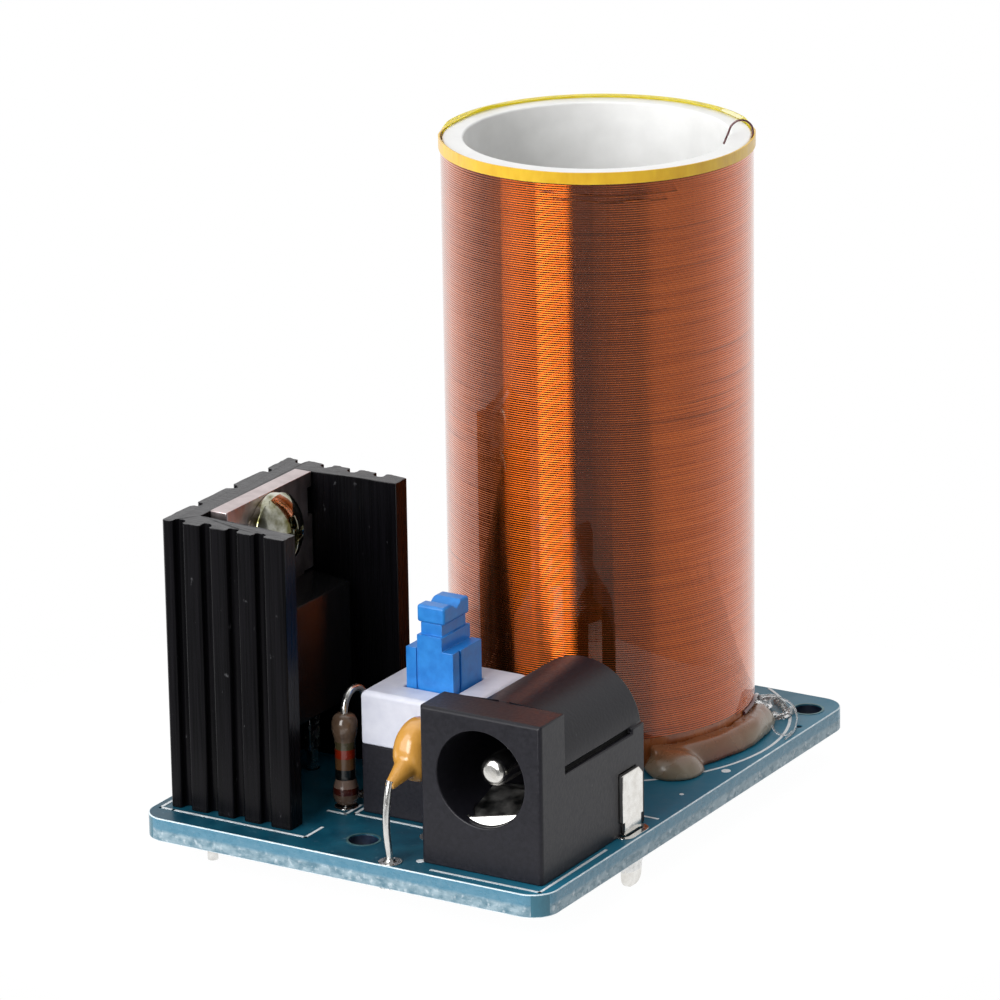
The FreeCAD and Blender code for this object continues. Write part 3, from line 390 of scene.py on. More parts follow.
def stretched_noise(group, given, detail):
    """Noise stretched along the axes, with its scale in waves to the millimetre."""
    place = add_node(group, "TexCoord", {})["Object"]
    place_mm = add_node(group, "VectorMath", {0: place, "Scale": 1 / MM}, operation="SCALE")[0]
    stretched = reckon(group, "VectorMath", "MULTIPLY", place_mm, given["Stretch"])
    return add_node(group, "TexNoise", {"Vector": stretched, "Scale": given["Scale"],
                                        "Detail": detail})["Fac"]


def grain_effect():
    """Uneven colour, gloss and height from stretched noise."""
    group, given, wanted = effect(
        "grain",
        [("Stretch", VECTOR, (1, 1, 1)), ("Scale", NUMBER, 1), ("Detail", NUMBER, 4),
         ("Contrast", NUMBER, 0.2), ("Low Colour", COLOUR, (0, 0, 0, 1)),
         ("High Colour", COLOUR, (1, 1, 1, 1)), ("Low Roughness", NUMBER, 0.3),
         ("High Roughness", NUMBER, 0.5)],
        [("Colour", COLOUR), ("Roughness", NUMBER), ("Height", NUMBER)])
    waves = stretched_noise(group, given, given["Detail"])
    low = reckon(group, "Math", "SUBTRACT", 0.5, given["Contrast"])
    high = reckon(group, "Math", "ADD", 0.5, given["Contrast"])
    spread = ramp_up(group, waves, low, high)
    gloss = add_node(group, "MapRange", {"Value": spread, "To Min": given["Low Roughness"],
                                         "To Max": given["High Roughness"]})["Result"]
    mix = blend(group, spread, given["Low Colour"], given["High Colour"])
    group.links.new(mix, wanted["Colour"])
    group.links.new(gloss, wanted["Roughness"])
    group.links.new(spread, wanted["Height"])
    return group


def specks_effect():
    """Sparse spots of another colour laid over a colour, such as dust, flux and fibres, and on the winding
    painted shade in the gaps between turns.
    """
    group, given, wanted = effect(
        "specks",
        [("Colour", COLOUR, (0, 0, 0, 1)), ("Speck Colour", COLOUR, (1, 1, 1, 1)),
         ("Stretch", VECTOR, (1, 1, 1)), ("Scale", NUMBER, 3), ("Share", NUMBER, 0.3),
         ("Strength", NUMBER, 0.5)],
        [("Colour", COLOUR)])
    edge = reckon(group, "Math", "SUBTRACT", 0.75, given["Share"])
    spots = ramp_up(group, stretched_noise(group, given, 6), edge, 0.8)
    amount = reckon(group, "Math", "MULTIPLY", spots, given["Strength"])
    group.links.new(blend(group, amount, given["Colour"], given["Speck Colour"]), wanted["Colour"])
    return group


GRAIN = grain_effect()
SPECKS = specks_effect()
LOOKS = {}                          # the materials made below, by the names they are asked for


def finish(name, low, high, gloss, scale, stretch=(1, 1, 1), contrast=0.2, detail=4.0,
           bump=0.0, specks=None, **fixed):
    """A material with uneven colour and gloss; fixed holds the shader's own constant values."""
    made = bpy.data.materials.new(name)
    LOOKS[name] = made
    made.use_nodes = True
    tree = made.node_tree
    shader = tree.nodes["Principled BSDF"].inputs
    for socket, value in fixed.items():
        shader[socket.replace("_", " ")].default_value = value
    grain = add_node(tree, "Group", {
        "Stretch": stretch, "Scale": scale, "Detail": detail, "Contrast": contrast,
        "Low Colour": (*low, 1), "High Colour": (*high, 1), "Low Roughness": gloss[0],
        "High Roughness": gloss[1]}, node_tree=GRAIN)
    colour = grain["Colour"]
    if specks:
        colour = add_node(tree, "Group", {"Colour": colour, **specks}, node_tree=SPECKS)["Colour"]
    tree.links.new(colour, shader["Base Color"])
    tree.links.new(grain["Roughness"], shader["Roughness"])
    if bump:
        relief = add_node(tree, "Bump", {"Strength": 1.0, "Distance": mm(bump), "Height": grain["Height"]})
        tree.links.new(relief["Normal"], shader["Normal"])


# ---- finishes ----
finish("solder_mask", (0.003, 0.048, 0.084), (0.007, 0.082, 0.130), (0.28, 0.42), 0.7, bump=0.01,
       Specular_IOR_Level=0.24, specks={"Speck Colour": (0.25, 0.38, 0.45, 1), "Scale": 2.2, "Share": 0.1,
       "Strength": 0.35})
finish("cut_laminate", (0.09, 0.19, 0.25), (0.31, 0.42, 0.48), (0.2, 0.4), 1.3, stretch=(1, 1, 1.6),
       contrast=0.16, detail=8.0, bump=0.02, specks={"Speck Colour": (0.75, 0.82, 0.86, 1), "Scale": 2.6,
       "Share": 0.2, "Strength": 0.8})
# darker, glossier teal for the rounded corners: painted shade of the curved corner faces
finish("shaded_corner_laminate", (0.022, 0.115, 0.165), (0.045, 0.17, 0.235), (0.12, 0.25), 1.2,
       stretch=(1, 1, 0.3))
# pale paint for the board's rounded outer edges: painted highlight, partly the whitish fibre of the broken
# edge
finish("sheen_and_fibre_edge", (0.50, 0.63, 0.70), (0.78, 0.86, 0.90), (0.25, 0.4), 1.5)
finish("printed_ink", (0.62, 0.68, 0.72), (0.8, 0.84, 0.86), (0.45, 0.6), 3.0)
finish("bright_tin", (0.62, 0.61, 0.59), (0.82, 0.82, 0.80), (0.16, 0.32), 2.0, bump=0.006, Metallic=1.0)
finish("dull_plating", (0.04, 0.12, 0.14), (0.11, 0.22, 0.24), (0.35, 0.5), 2.0, Metallic=0.5)
# near-black navy for the walls of the holes: painted shade inside them
finish("shaded_hole_wall", (0.005, 0.011, 0.028), (0.010, 0.02, 0.045), (0.3, 0.45), 2.0)
finish("fresh_solder", (0.55, 0.55, 0.54), (0.78, 0.78, 0.77), (0.14, 0.3), 3.0, bump=0.015, Metallic=1.0)
finish("masked_copper", (0.010, 0.085, 0.13), (0.02, 0.12, 0.17), (0.15, 0.28), 0.8, bump=0.008,
       Coat_Weight=0.4, Coat_Roughness=0.08)
finish("white_tube", (0.78, 0.78, 0.77), (0.86, 0.86, 0.85), (0.35, 0.5), 0.5, bump=0.01,
       Specular_IOR_Level=0.5)
finish("amber_tape", (0.30, 0.075, 0.018), (0.46, 0.14, 0.035), (0.16, 0.34), 1.2, stretch=(1, 1, 0.4),
       bump=0.02, Coat_Weight=0.3, Coat_Roughness=0.12)
finish("yellow_tape", (0.70, 0.39, 0.010), (0.84, 0.53, 0.022), (0.28, 0.42), 1.2, stretch=(1, 1, 0.4),
       bump=0.02, Coat_Weight=0.3, Coat_Roughness=0.12)
# paler lemon copy of the wrap's tape for its back: painted backlight, over its real transmission
finish("backlit_lemon_tape", (0.96, 0.80, 0.02), (0.98, 0.90, 0.10), (0.3, 0.45), 1.2, Transmission_Weight=0.6,
       IOR=1.3)
# the dark specks stretched round the winding are painted shade of the gaps between turns
finish("enamelled_wire", (0.42, 0.078, 0.007), (0.58, 0.125, 0.014), (0.03, 0.06), 1.0,
       stretch=(0.1, 0.1, 3.0), contrast=0.25, detail=5.0, Metallic=1.0, Coat_Weight=1.0,
       Coat_Roughness=0.02, Coat_IOR=1.5, specks={"Speck Colour": (0.10, 0.016, 0.004, 1),
       "Stretch": (0.05, 0.05, 4.0), "Scale": 1.0, "Share": 0.13, "Strength": 0.75})
finish("dark_enamel", (0.07, 0.014, 0.02), (0.12, 0.03, 0.035), (0.2, 0.35), 2.0, Metallic=0.4,
       Coat_Weight=0.6, Coat_Roughness=0.1)
finish("loose_wire", (0.20, 0.055, 0.018), (0.34, 0.10, 0.03), (0.2, 0.3), 2.0, Metallic=0.7)
finish("clear_glue", (0.85, 0.86, 0.86), (0.95, 0.95, 0.95), (0.03, 0.12), 0.8, bump=0.03,
       Transmission_Weight=0.9, IOR=1.48)
finish("anodised", (0.002, 0.002, 0.0025), (0.005, 0.0045, 0.006), (0.22, 0.34), 1.6,
       stretch=(3.0, 3.0, 0.08), contrast=0.2, bump=0.006, Specular_IOR_Level=0.12,
       specks={"Speck Colour": (0.16, 0.16, 0.17, 1), "Stretch": (1, 1, 0.6), "Scale": 2.5, "Share": 0.06,
       "Strength": 0.5})
finish("sawn_metal", (0.04, 0.04, 0.042), (0.15, 0.15, 0.155), (0.35, 0.55), 2.0, stretch=(0.6, 5.0, 1),
       contrast=0.22, detail=6.0, bump=0.03, Metallic=0.5)
finish("tab_plate", (0.48, 0.40, 0.40), (0.66, 0.57, 0.57), (0.28, 0.4), 1.2, stretch=(1, 1, 0.5),
       bump=0.004, Metallic=1.0)
finish("black_epoxy", (0.004, 0.004, 0.0045), (0.009, 0.009, 0.010), (0.14, 0.24), 6.0, bump=0.006)
finish("zinc_screw", (0.16, 0.15, 0.06), (0.66, 0.66, 0.58), (0.06, 0.14), 0.7, contrast=0.10, bump=0.006,
       Metallic=1.0)
finish("socket_black", (0.008, 0.0078, 0.0115), (0.013, 0.0125, 0.018), (0.34, 0.46), 4.0, bump=0.005,
       Specular_IOR_Level=0.3, specks={"Speck Colour": (0.10, 0.10, 0.11, 1), "Scale": 1.6, "Share": 0.05,
       "Strength": 0.4})
finish("deep_shadow", (0.002, 0.002, 0.002), (0.003, 0.003, 0.003), (0.6, 0.7), 2.0,
       Specular_IOR_Level=0.1)
# dark mottled nickel for the sleeve leaf deep in the bore: painted shade
finish("shaded_leaf_nickel", (0.10, 0.10, 0.105), (0.60, 0.59, 0.57), (0.3, 0.5), 1.1, contrast=0.2,
       bump=0.01, Metallic=1.0)
finish("worn_nickel", (0.62, 0.61, 0.58), (0.84, 0.83, 0.80), (0.34, 0.5), 1.5, bump=0.005, Metallic=1.0)
finish("nickel", (0.66, 0.64, 0.60), (0.84, 0.83, 0.80), (0.12, 0.26), 1.5, bump=0.005, Metallic=1.0)
finish("white_shell", (0.61, 0.625, 0.72), (0.69, 0.705, 0.79), (0.3, 0.42), 1.2, bump=0.006)
finish("switch_blue", (0.012, 0.175, 0.57), (0.023, 0.245, 0.69), (0.28, 0.4), 1.5, bump=0.006)
finish("spring_wire", (0.45, 0.45, 0.46), (0.68, 0.68, 0.68), (0.18, 0.3), 2.0, Metallic=1.0)
finish("ochre_resin", (0.56, 0.27, 0.045), (0.66, 0.34, 0.07), (0.16, 0.26), 0.8, bump=0.02,
       Coat_Weight=0.6, Coat_Roughness=0.06)
finish("banded_paint", (0.085, 0.052, 0.034), (0.13, 0.085, 0.056), (0.16, 0.28), 2.0, bump=0.01,
       Coat_Weight=0.5, Coat_Roughness=0.08)
finish("milky_glue", (0.31, 0.24, 0.155), (0.46, 0.39, 0.29), (0.2, 0.34), 0.6, bump=0.03,
       Transmission_Weight=0.25, IOR=1.4, Coat_Weight=0.6, Coat_Roughness=0.08)


def coloured_along(axis, name, low, high, layers, interpolation="LINEAR"):
    """Lay colours over a finish along an axis; a layer is its share of the way, colour and strength."""
    tree = LOOKS[name].node_tree
    base = tree.nodes["Principled BSDF"].inputs["Base Color"]
    under = base.links[0].from_socket
    share = ramp_up(tree, split_place(tree, "Object")[axis], mm(low), mm(high))
    paint = colour_ramp(tree, share, [(place, colour) for place, colour, cover in layers], interpolation)
    strength = colour_ramp(tree, share, [(place, (cover,) * 3) for place, colour, cover in layers],
                           interpolation)
    tree.links.new(blend(tree, strength, under, paint), base)


def varnish_over_winding(name):
    """Let the coat follow the coil as a whole, as varnish that fills the grooves between turns does."""
    tree = LOOKS[name].node_tree
    place = add_node(tree, "TexCoord", {})["Object"]
    from_axis = reckon(tree, "VectorMath", "SUBTRACT", place, mm(COIL_X, COIL_Y, 0))
    level = reckon(tree, "VectorMath", "MULTIPLY", from_axis, (1, 1, 0))
    outward = reckon(tree, "VectorMath", "NORMALIZE", level)
    tree.links.new(outward, tree.nodes["Principled BSDF"].inputs["Coat Normal"])


varnish_over_winding("enamelled_wire")
coloured_along("Z", "cut_laminate", UNDER, TOP, [
    (0.0, (0.02, 0.08, 0.11), 0.9), (0.09, (0.1, 0.2, 0.3), 0), (0.42, (0.1, 0.24, 0.34), 0),
    (0.56, (0.065, 0.21, 0.31), 0.85), (1.0, (0.055, 0.20, 0.30), 0.9)])
# the mask turns lighter towards the right: partly the copper pour under it, partly painted sheen
coloured_along("X", "solder_mask", 0, board_high.x, [
    (0.0, (0.010, 0.10, 0.16), 0), (0.2, (0.010, 0.10, 0.16), 0), (0.6, (0.014, 0.145, 0.235), 0.75),
    (1.0, (0.016, 0.165, 0.265), 0.9)])
coloured_along("Z", "banded_paint", resistor_low.z, resistor_high.z, [
    (0.0, (0.06, 0.036, 0.024), 0.6), (0.13, (0.04, 0.006, 0.003), 1), (0.20, (0.15, 0.10, 0.08), 0.8),
    (0.29, (0.003, 0.003, 0.003), 1), (0.40, (0.09, 0.042, 0.016), 1), (0.52, (0.20, 0.014, 0.003), 1),
    (0.62, (0.055, 0.046, 0.020), 0.9), (0.70, (0.11, 0.075, 0.05), 0)], "CONSTANT")
# the glue is painted orange-brown along the coil's side and towards its top: painted copper colour of the
# winding shining through it
coloured_along("Y", "milky_glue", 1.2, 14.5, [
    (0.0, (0.30, 0.13, 0.05), 0), (0.1, (0.30, 0.13, 0.05), 0), (0.24, (0.24, 0.055, 0.012), 0.7),
    (0.42, (0.26, 0.045, 0.008), 0.92), (0.6, (0.22, 0.07, 0.015), 0.75), (0.78, (0.3, 0.2, 0.1), 0)])
coloured_along("Z", "milky_glue", TOP, base_high.z, [
    (0.0, (0.30, 0.27, 0.22), 0), (0.34, (0.27, 0.19, 0.11), 0.3), (0.62, (0.26, 0.11, 0.04), 0.75),
    (1.0, (0.38, 0.10, 0.03), 0.95)])


# ---- circuit board ----
def paint_faces(piece, test):
    """Give a piece's second material to the faces that a test picks."""
    for face in piece.data.polygons:
        if test(face.center / MM, face.normal):
            face.material_index = 1


def dress_board():
    """Board with broken edges: printed mask above and below, cut laminate round the sides, painted highlight
    on the rounded outer edges, painted shade on the rounded corners and in the holes.
    """
    upright, level, slanted = 0.3, 0.98, 0.36    # limits for the parts of a face's normal
    board = copy_of("circuit_board", "board_with_mask")
    soften(board, 0.07, segments=2)
    dress(board, "board_laminate",
          ["solder_mask", "cut_laminate", "sheen_and_fibre_edge", "shaded_corner_laminate", "shaded_hole_wall"], "circuit_board")
    for face in board.data.polygons:
        rise = abs(face.normal.z)
        outer = is_outside(face.center / MM)
        if rise < upright and not outer:
            # inner walls of the holes take the painted shade
            face.material_index = 4
        elif rise < upright:
            # diagonal faces at the rounded corners take the painted corner shade
            face.material_index = 3 if min(abs(face.normal.x), abs(face.normal.y)) > slanted else 1
        # the rounded outer edges take the pale edge paint: painted highlight, partly whitish fibre
        elif rise < level and outer:
            face.material_index = 2


def is_outside(middle):
    """True on the board's outer wall."""
    near, corner = 0.3, 1.8         # how far in a face may lie, and the corners' radius
    off_x = abs(middle.x) - (board_high.x - corner)
    off_y = abs(middle.y) - (board_high.y - corner)
    if off_x > 0 and off_y > 0:
        return math.hypot(off_x, off_y) > corner - near
    return abs(middle.x) > board_high.x - near or abs(middle.y) > board_high.y - near


INK = 0.02                          # thickness of the printing
LINE = 0.2                          # width of a printed line
HOLES = [(13.64, 18.15), (-13.64, 18.15), (0.0, -17.54)]    # middles of the mounting holes


def flat_ring(name, x, y, z, inner, outer, sides):
    """A flat ring with no thickness yet, around a point."""
    put_down()
    bpy.ops.mesh.primitive_circle_add(vertices=sides, radius=mm(inner), location=mm(x, y, z))
    ring = new_piece(name)
    open_all(ring)
    bpy.ops.mesh.extrude_region_move(TRANSFORM_OT_translate={"value": (0, 0, 0)})
    bpy.ops.transform.resize(value=(outer / inner, outer / inner, 1), center_override=mm(x, y, z))
    put_down()
    return settle(ring)


def print_outlines():
    """Plain outlines of the parts, printed on the board, and a ring around the coil."""
    runs = [(-13.9, -19.0, -3.55, -19.0), (-3.55, -19.0, -3.55, -17.0), (-13.9, -19.0, -14.9, -19.0),
            (-14.9, -19.0, -14.9, -2.9), (-14.9, -2.9, -4.6, -2.9), (-3.0, -13.85, 5.1, -13.85),
            (-3.0, -13.85, -3.0, -11.8), (-3.0, -6.8, -3.0, -4.9), (-3.0, -4.9, 5.1, -4.9),
            (-4.83, -14.19, -3.49, -14.19), (-3.49, -14.19, -3.49, -12.34), (6.7, -20.0, 14.75, -20.0),
            (14.75, -20.0, 14.75, -11.6), (13.9, -5.1, 14.9, -5.1), (5.2, -5.1, 7.4, -5.1)]
    lines = [printed_line(*run) for run in runs]
    middle, middle_r = 2.3, 12.6
    ring = flat_ring("printed_ring", middle, COIL_Y, TOP + INK / 2, middle_r - LINE / 2,
                     middle_r + LINE / 2, 160)
    limit = board_high.y - 0.3
    choose(ring, "FACE", lambda place: place.y > limit or place.y < 1.0 and place.x < -4)
    bpy.ops.mesh.delete(type="FACE")
    put_down()
    apply_modifier(ring, "SOLIDIFY", thickness=mm(INK), offset=0)
    dots = [turned("printed_dot", x, y, [(radius, TOP), (radius, TOP + INK)], sides=20)
            for x, y, radius in ((14.55, 4.87, 0.32), (5.25, -19.0, 0.28), (14.1, -0.4, 0.16))]
    printing = joined([ring] + lines + dots, "printed_outlines")
    dress(printing, "white_plastic", ["printed_ink"])


def ring_holes():
    """Thin dull rings round the mounting holes, above and below."""
    hole, width, plate = 1.0, 0.16, 0.03
    rings = [flat_ring("hole_ring", x, y, z, hole, hole + width, 48)
             for x, y in HOLES for z in (TOP + plate / 2, UNDER - plate / 2)]
    plating = joined(rings, "mounting_hole_rings")
    apply_modifier(plating, "SOLIDIFY", thickness=mm(plate), offset=0)
    soften(plating, 0)
    dress(plating, "tinned_copper", ["dull_plating"])


def dress_copper():
    """Pads and tracks with broken edges."""
    dress_plain([("solder_pads", "tinned_pads", "tinned_copper", "bright_tin", 0.015),
                 ("driver_tracks", "masked_tracks", "masked_copper", "masked_copper", 0.015),
                 ("primary_coil_track", "primary_spiral", "masked_copper", "masked_copper", 0.015)],
                segments=2)


CAPACITOR_X, CAPACITOR_FRONT, CAPACITOR_BACK = 3.6, -20.05, -14.97
LOOP_X, LOOP_BACK = -4.25, -10.36   # the resistor's bent lead
TAIL_X, TAIL_Y = 11.46, 17.49       # the winding's tail
# middle and size across X and Y of each lead below the board; the flush ones are cut short
FLUSH = [(CAPACITOR_X, y, 0.48, 0.48) for y in (CAPACITOR_FRONT, CAPACITOR_BACK)]
LEADS = ([(JACK_X, -11.43, 2.4, 0.4), (JACK_X, -5.73, 2.5, 0.4), (14.52, -7.93, 0.4, 2.1)]
         + [(-12.05, y, 0.72, 0.72) for y in (-17.25, -4.55)]
         + [(-10.1, y, 0.5, 0.75) for y in (-12.94, -10.4, -7.86)]
         + [(1.27 + side * 2.4, -9.25 + row * 2.5, 0.3, 0.8) for side in (-1, 1) for row in (-1, 0, 1)]
         + [(LOOP_X, y, 0.5, 0.5) for y in (-12.9, LOOP_BACK)]
         + [(TAIL_X, TAIL_Y, 0.6, 0.6)] + FLUSH)


def solder_fillet(name, x, y, size_x, size_y, foot, way, height, spread):
    """One solder joint that runs up a lead in a hollow curve, away from the board."""
    half = max(size_x, size_y) / 2
    skin, hollow, steps = 0.06, 2.2, 6
    profile = [(half + skin + spread * (1 - step / steps) ** hollow, foot + way * height * (step / steps))
               for step in range(steps + 1)]
    widest = half + spread
    return turned(name, x, y, profile, 24, (size_x / 2 + spread) / widest, (size_y / 2 + spread) / widest)


def dress_solder():
    """Hollow solder fillets round every lead below, and at the leads that show above."""
    below = []
    widest, margin, low, tall, gap = 0.5, 0.1, 0.14, 0.9, 0.05
    for lead in LEADS:
        x, y, size_x, size_y = lead
        room = min(board_high.x - abs(x) - size_x / 2, board_high.y - abs(y) - size_y / 2)
        spread = min(widest, room - margin)
        height = low if lead in FLUSH else tall
        below.append(solder_fillet("solder_below", *lead, UNDER - gap, -1, height, spread))
    solder = joined(below, "solder_below")
    uneven(solder, 0.05, 1.7, 3.0)
    soften(solder, 0, angle=50)
    dress(solder, "solder", ["fresh_solder"], "solder_joints")
    above = [solder_fillet("solder_above", x, y, 0.5, 0.5, TOP + gap, 1, 0.22, 0.14)
             for x, y in ((LOOP_X, LOOP_BACK), (CAPACITOR_X, CAPACITOR_FRONT),
                          (CAPACITOR_X, CAPACITOR_BACK))]
    beads = joined(above, "solder_above")
    uneven(beads, 0.02, 2.0, 5.0)
    soften(beads, 0, angle=50)
    dress(beads, "solder", ["fresh_solder"])


# ---- coil ----
def wind_coil():
    """One continuous wire wound turn by turn, each turn rounded on the outside."""
    turns = 250
    low, high = winding_low.z, winding_high.z
    pitch = (high - low) / (turns + 1)
    depth = WINDING_R - FORMER_R
    edge = FORMER_R + depth / 2
    put_down()
    bpy.ops.mesh.primitive_plane_add(size=1, location=(0, 0, 0), rotation=(math.pi / 2, 0, 0))
    coil = new_piece("wound_wire")
    coil.scale = (mm(depth), mm(pitch), 1)
    coil.location = (mm(edge), 0, mm(pitch / 2))
    settle(coil)
    choose(coil, "VERT", lambda corner: corner.x > edge)
    bpy.ops.transform.resize(value=(1, 1, 0.7), center_override=(0, 0, mm(pitch / 2)))
    bpy.ops.mesh.select_all(action="SELECT")
    bpy.ops.mesh.delete(type="ONLY_FACE")
    put_down()
    apply_modifier(coil, "SCREW", axis="Z", angle=2 * math.pi, screw_offset=mm(pitch),
                   iterations=turns, steps=64, render_steps=64, use_smooth_shade=True)
    open_all(coil)
    bpy.ops.mesh.fill_holes(sides=4)
    face_outward(coil)
    jitter, swelling, sag = 0.007, 0.0025, 0.08
    loose_from = high - low - 1.0

    def loosen(point):
        """Shift a turn a little, the last ones more, and swell it on the outside."""
        angle = math.atan2(point.y, point.x)
        ring = Vector((math.cos(angle) * 1.5, math.sin(angle) * 1.5, point.z * 4.0))
        point.z += jitter * noise.noise(ring)
        stray = max(0.0, point.z - loose_from)
        reach = math.hypot(point.x, point.y)
        if reach > edge:
            swell = swelling * noise.noise(ring * 2.3) - 0.002
            scale = (reach + swell) / reach
            point.x *= scale
            point.y *= scale
        point.z -= sag * stray * (1 - stray) * (1 + noise.noise(ring * 0.7))
        return point

    reshape(coil, loosen)
    coil.location = mm(COIL_X, COIL_Y, low)
    settle(coil)
    shade_smooth(coil)
    dress(coil, "enamelled_wire", ["enamelled_wire"], "secondary_winding")


def tape_band(name, radius, low, high, wave, lift, seed):
    """A wrap of thin tape with slightly wavy edges, raised at its top by a lift for each angle."""
    thick = 0.1
    middle = (low + high) / 2
    put_down()
    bpy.ops.mesh.primitive_cylinder_add(vertices=144, radius=mm(radius - thick), depth=mm(high - low),
                                        end_fill_type="NOTHING", location=mm(COIL_X, COIL_Y, middle))
    band = settle(new_piece(name))
    open_all(band)
    bpy.ops.mesh.subdivide(number_cuts=1)
    put_down()

    def ripple(point):
        """Lift the top edge and wave both edges."""
        angle = math.atan2(point.y - COIL_Y, point.x - COIL_X)
        ring = Vector((math.cos(angle) * 2.2, math.sin(angle) * 2.2, seed))
        if point.z > middle + NUDGE:
            point.z += lift(math.degrees(angle)) + wave * noise.noise(ring)
        elif point.z < middle - NUDGE:
            point.z += 0.6 * wave * noise.noise(ring * 1.4)
        return point

    reshape(band, ripple)
    apply_modifier(band, "SOLIDIFY", thickness=mm(thick), offset=1)
    face_outward(band)
    return band


def dress_tapes():
    """Dark tape at the foot of the winding, and a bright wrap over its last turns that folds in behind."""
    foot_lift = 0.16                # closes the gap below the first turn
    foot = tape_band("foot_tape", base_high.x - COIL_X, base_low.z, base_high.z, 0.03,
                     lambda angle: foot_lift, 2.0)
    soften(foot, 0, angle=40)
    dress(foot, "amber_tape", ["amber_tape"], "base_tape")
    fold, flap = 121, 168           # angles of the middle of the fold and of the tape's loose end
    edge = (rim_low.z + rim_high.z) / 2
    row, narrowed = 0.2, 0.24       # the middle row lies this near to the edge; the foot goes up this far
    crest = inward = 0.5            # behind, the middle row goes up and the top goes in by this

    def behind(angle):
        """1 in the middle of the fold, falling to -1 opposite."""
        return math.cos(math.radians(angle - fold))

    def lift(angle):
        """How far the wrap stands above its box, with its loose end highest."""
        return 0.16 * math.exp(-((angle - flap) / 9) ** 2) - 0.06 - 0.04 * max(0.0, -behind(angle))

    def fold_in(point):
        """Narrow the wrap, and fold its top over the rim behind."""
        back = behind(turn_angle(point))
        if point.z < edge - row:
            point.z += narrowed
        elif point.z < edge + row:
            point.z += crest * max(0.0, min(1.0, back * 3))
        elif back > 0:
            point = drawn_in(point, 1 - inward * min(1.0, back * 2.5) / coil_reach(point))
        return point

    rim = tape_band("rim_tape_wrap", RIM_R, rim_low.z, rim_high.z, 0.05, lift, 5.0)
    reshape(rim, fold_in)
    soften(rim, 0, angle=40)
    dress(rim, "amber_tape", ["yellow_tape", "backlit_lemon_tape"], "rim_tape")
    # the back of the wrap takes the paler lemon copy: painted backlight
    paint_faces(rim, lambda middle, normal: 40 < turn_angle(middle) < 205 or turn_angle(middle) < -160)


def dress_coil_leads():
    """Fine dark lead over the rim, stray turns, and the lower end round to its stiff tinned tail."""
    path = [(10.36, -0.1), (10.40, 0.35), (10.2, 0.85), (9.65, 1.08), (9.05, 0.8), (8.74, 0.15),
            (8.45, -0.55)]
    lead = strand("top_lead", [around_coil(25, radius, former_high.z + height) for radius, height in path],
                  0.07)
    dress(lead, "enamelled_wire", ["dark_enamel"], "winding_top_lead")
    strays = [
        strand("stray_turn", [around_coil(angle, WINDING_R + 0.02, winding_high.z - drop)
                              for angle, drop in places], 0.032)
        for places in (((-86, 0.62), (-74, 0.75), (-62, 0.86), (-52, 0.98), (-42, 0.9), (-30, 0.96)),
                       ((-76, 1.12), (-66, 1.2), (-56, 1.36), (-46, 1.3), (-34, 1.42)))]
    dress(joined(strays, "stray_turns"), "enamelled_wire", ["loose_wire"])
    bend = [around_coil(angle, WINDING_R + gap, TOP + height)
            for angle, gap, height in ((6, 0.05, 1.72), (14, 0.07, 1.8), (20, 0.09, 1.9), (27, 0.14, 1.7),
                                       (33, 0.4, 1.05))]
    tail = strand("bottom_lead", bend + [(TAIL_X, TAIL_Y, TOP + 0.35)], 0.14)
    dress(tail, "enamelled_wire", ["dark_enamel"])
    stub = turned("tinned_tail", TAIL_X, TAIL_Y,
                  [(0.05, 0.0), (0.22, 0.02), (0.3, 0.14), (0.3, TOP + 0.3), (0.24, TOP + 0.5),
                   (0.12, TOP + 0.58)], sides=24)
    soften(stub, 0, angle=50)
    dress(stub, "enamelled_wire", ["bright_tin"], "winding_bottom_lead")


def dress_glue():
    """Milky glue at the coil's foot, a clear bead over the wire's end, and fine glue strings."""
    brim = TOP + 1.5

    def tuck_in(point):
        """Lower the glue's top and bring it under the winding's skin."""
        if point.z > brim:
            reach = coil_reach(point)
            place = drawn_in(point, min(reach, WINDING_R - 0.02) / reach)
            place.z = brim + 0.4 * (point.z - brim)
            return place

    milky = copy_of("hot_glue_fillet", "milky_glue")
    melted(milky, 0.12, 8)
    uneven(milky, 0.14, 0.5, 7.0)
    reshape(milky, tuck_in)
    melted(milky, 0.12, 10)
    dress(shade_smooth(milky), "milky_glue", ["milky_glue"], "hot_glue_fillet")
    bead = copy_of("clear_glue_bead", "clear_glue")
    melted(bead, 0.1, 6)
    uneven(bead, 0.45, 1.1, 9.0)
    dress(shade_smooth(bead), "clear_glue", ["clear_glue"], "clear_glue_bead")
    long_string = strand("long_glue_string", [(11.4, 15.2, 5.0), (11.7, 16.1, 5.0), (12.2, 16.85, 4.7),
                                              (12.9, 17.0, 4.4), (13.85, 16.1, 4.1), (14.6, 14.7, 3.9),
                                              (15.1, 13.2, 3.8), (15.2, 12.0, 3.78)], 0.06)
    short_string = strand("short_glue_string", [(13.7, 12.9, 4.2), (14.3, 12.5, 3.9), (14.85, 12.7, 3.8),
                                                (14.9, 13.6, 3.8)], 0.07)
    dress(joined([long_string, short_string], "glue_strings"), "clear_glue", ["clear_glue"])


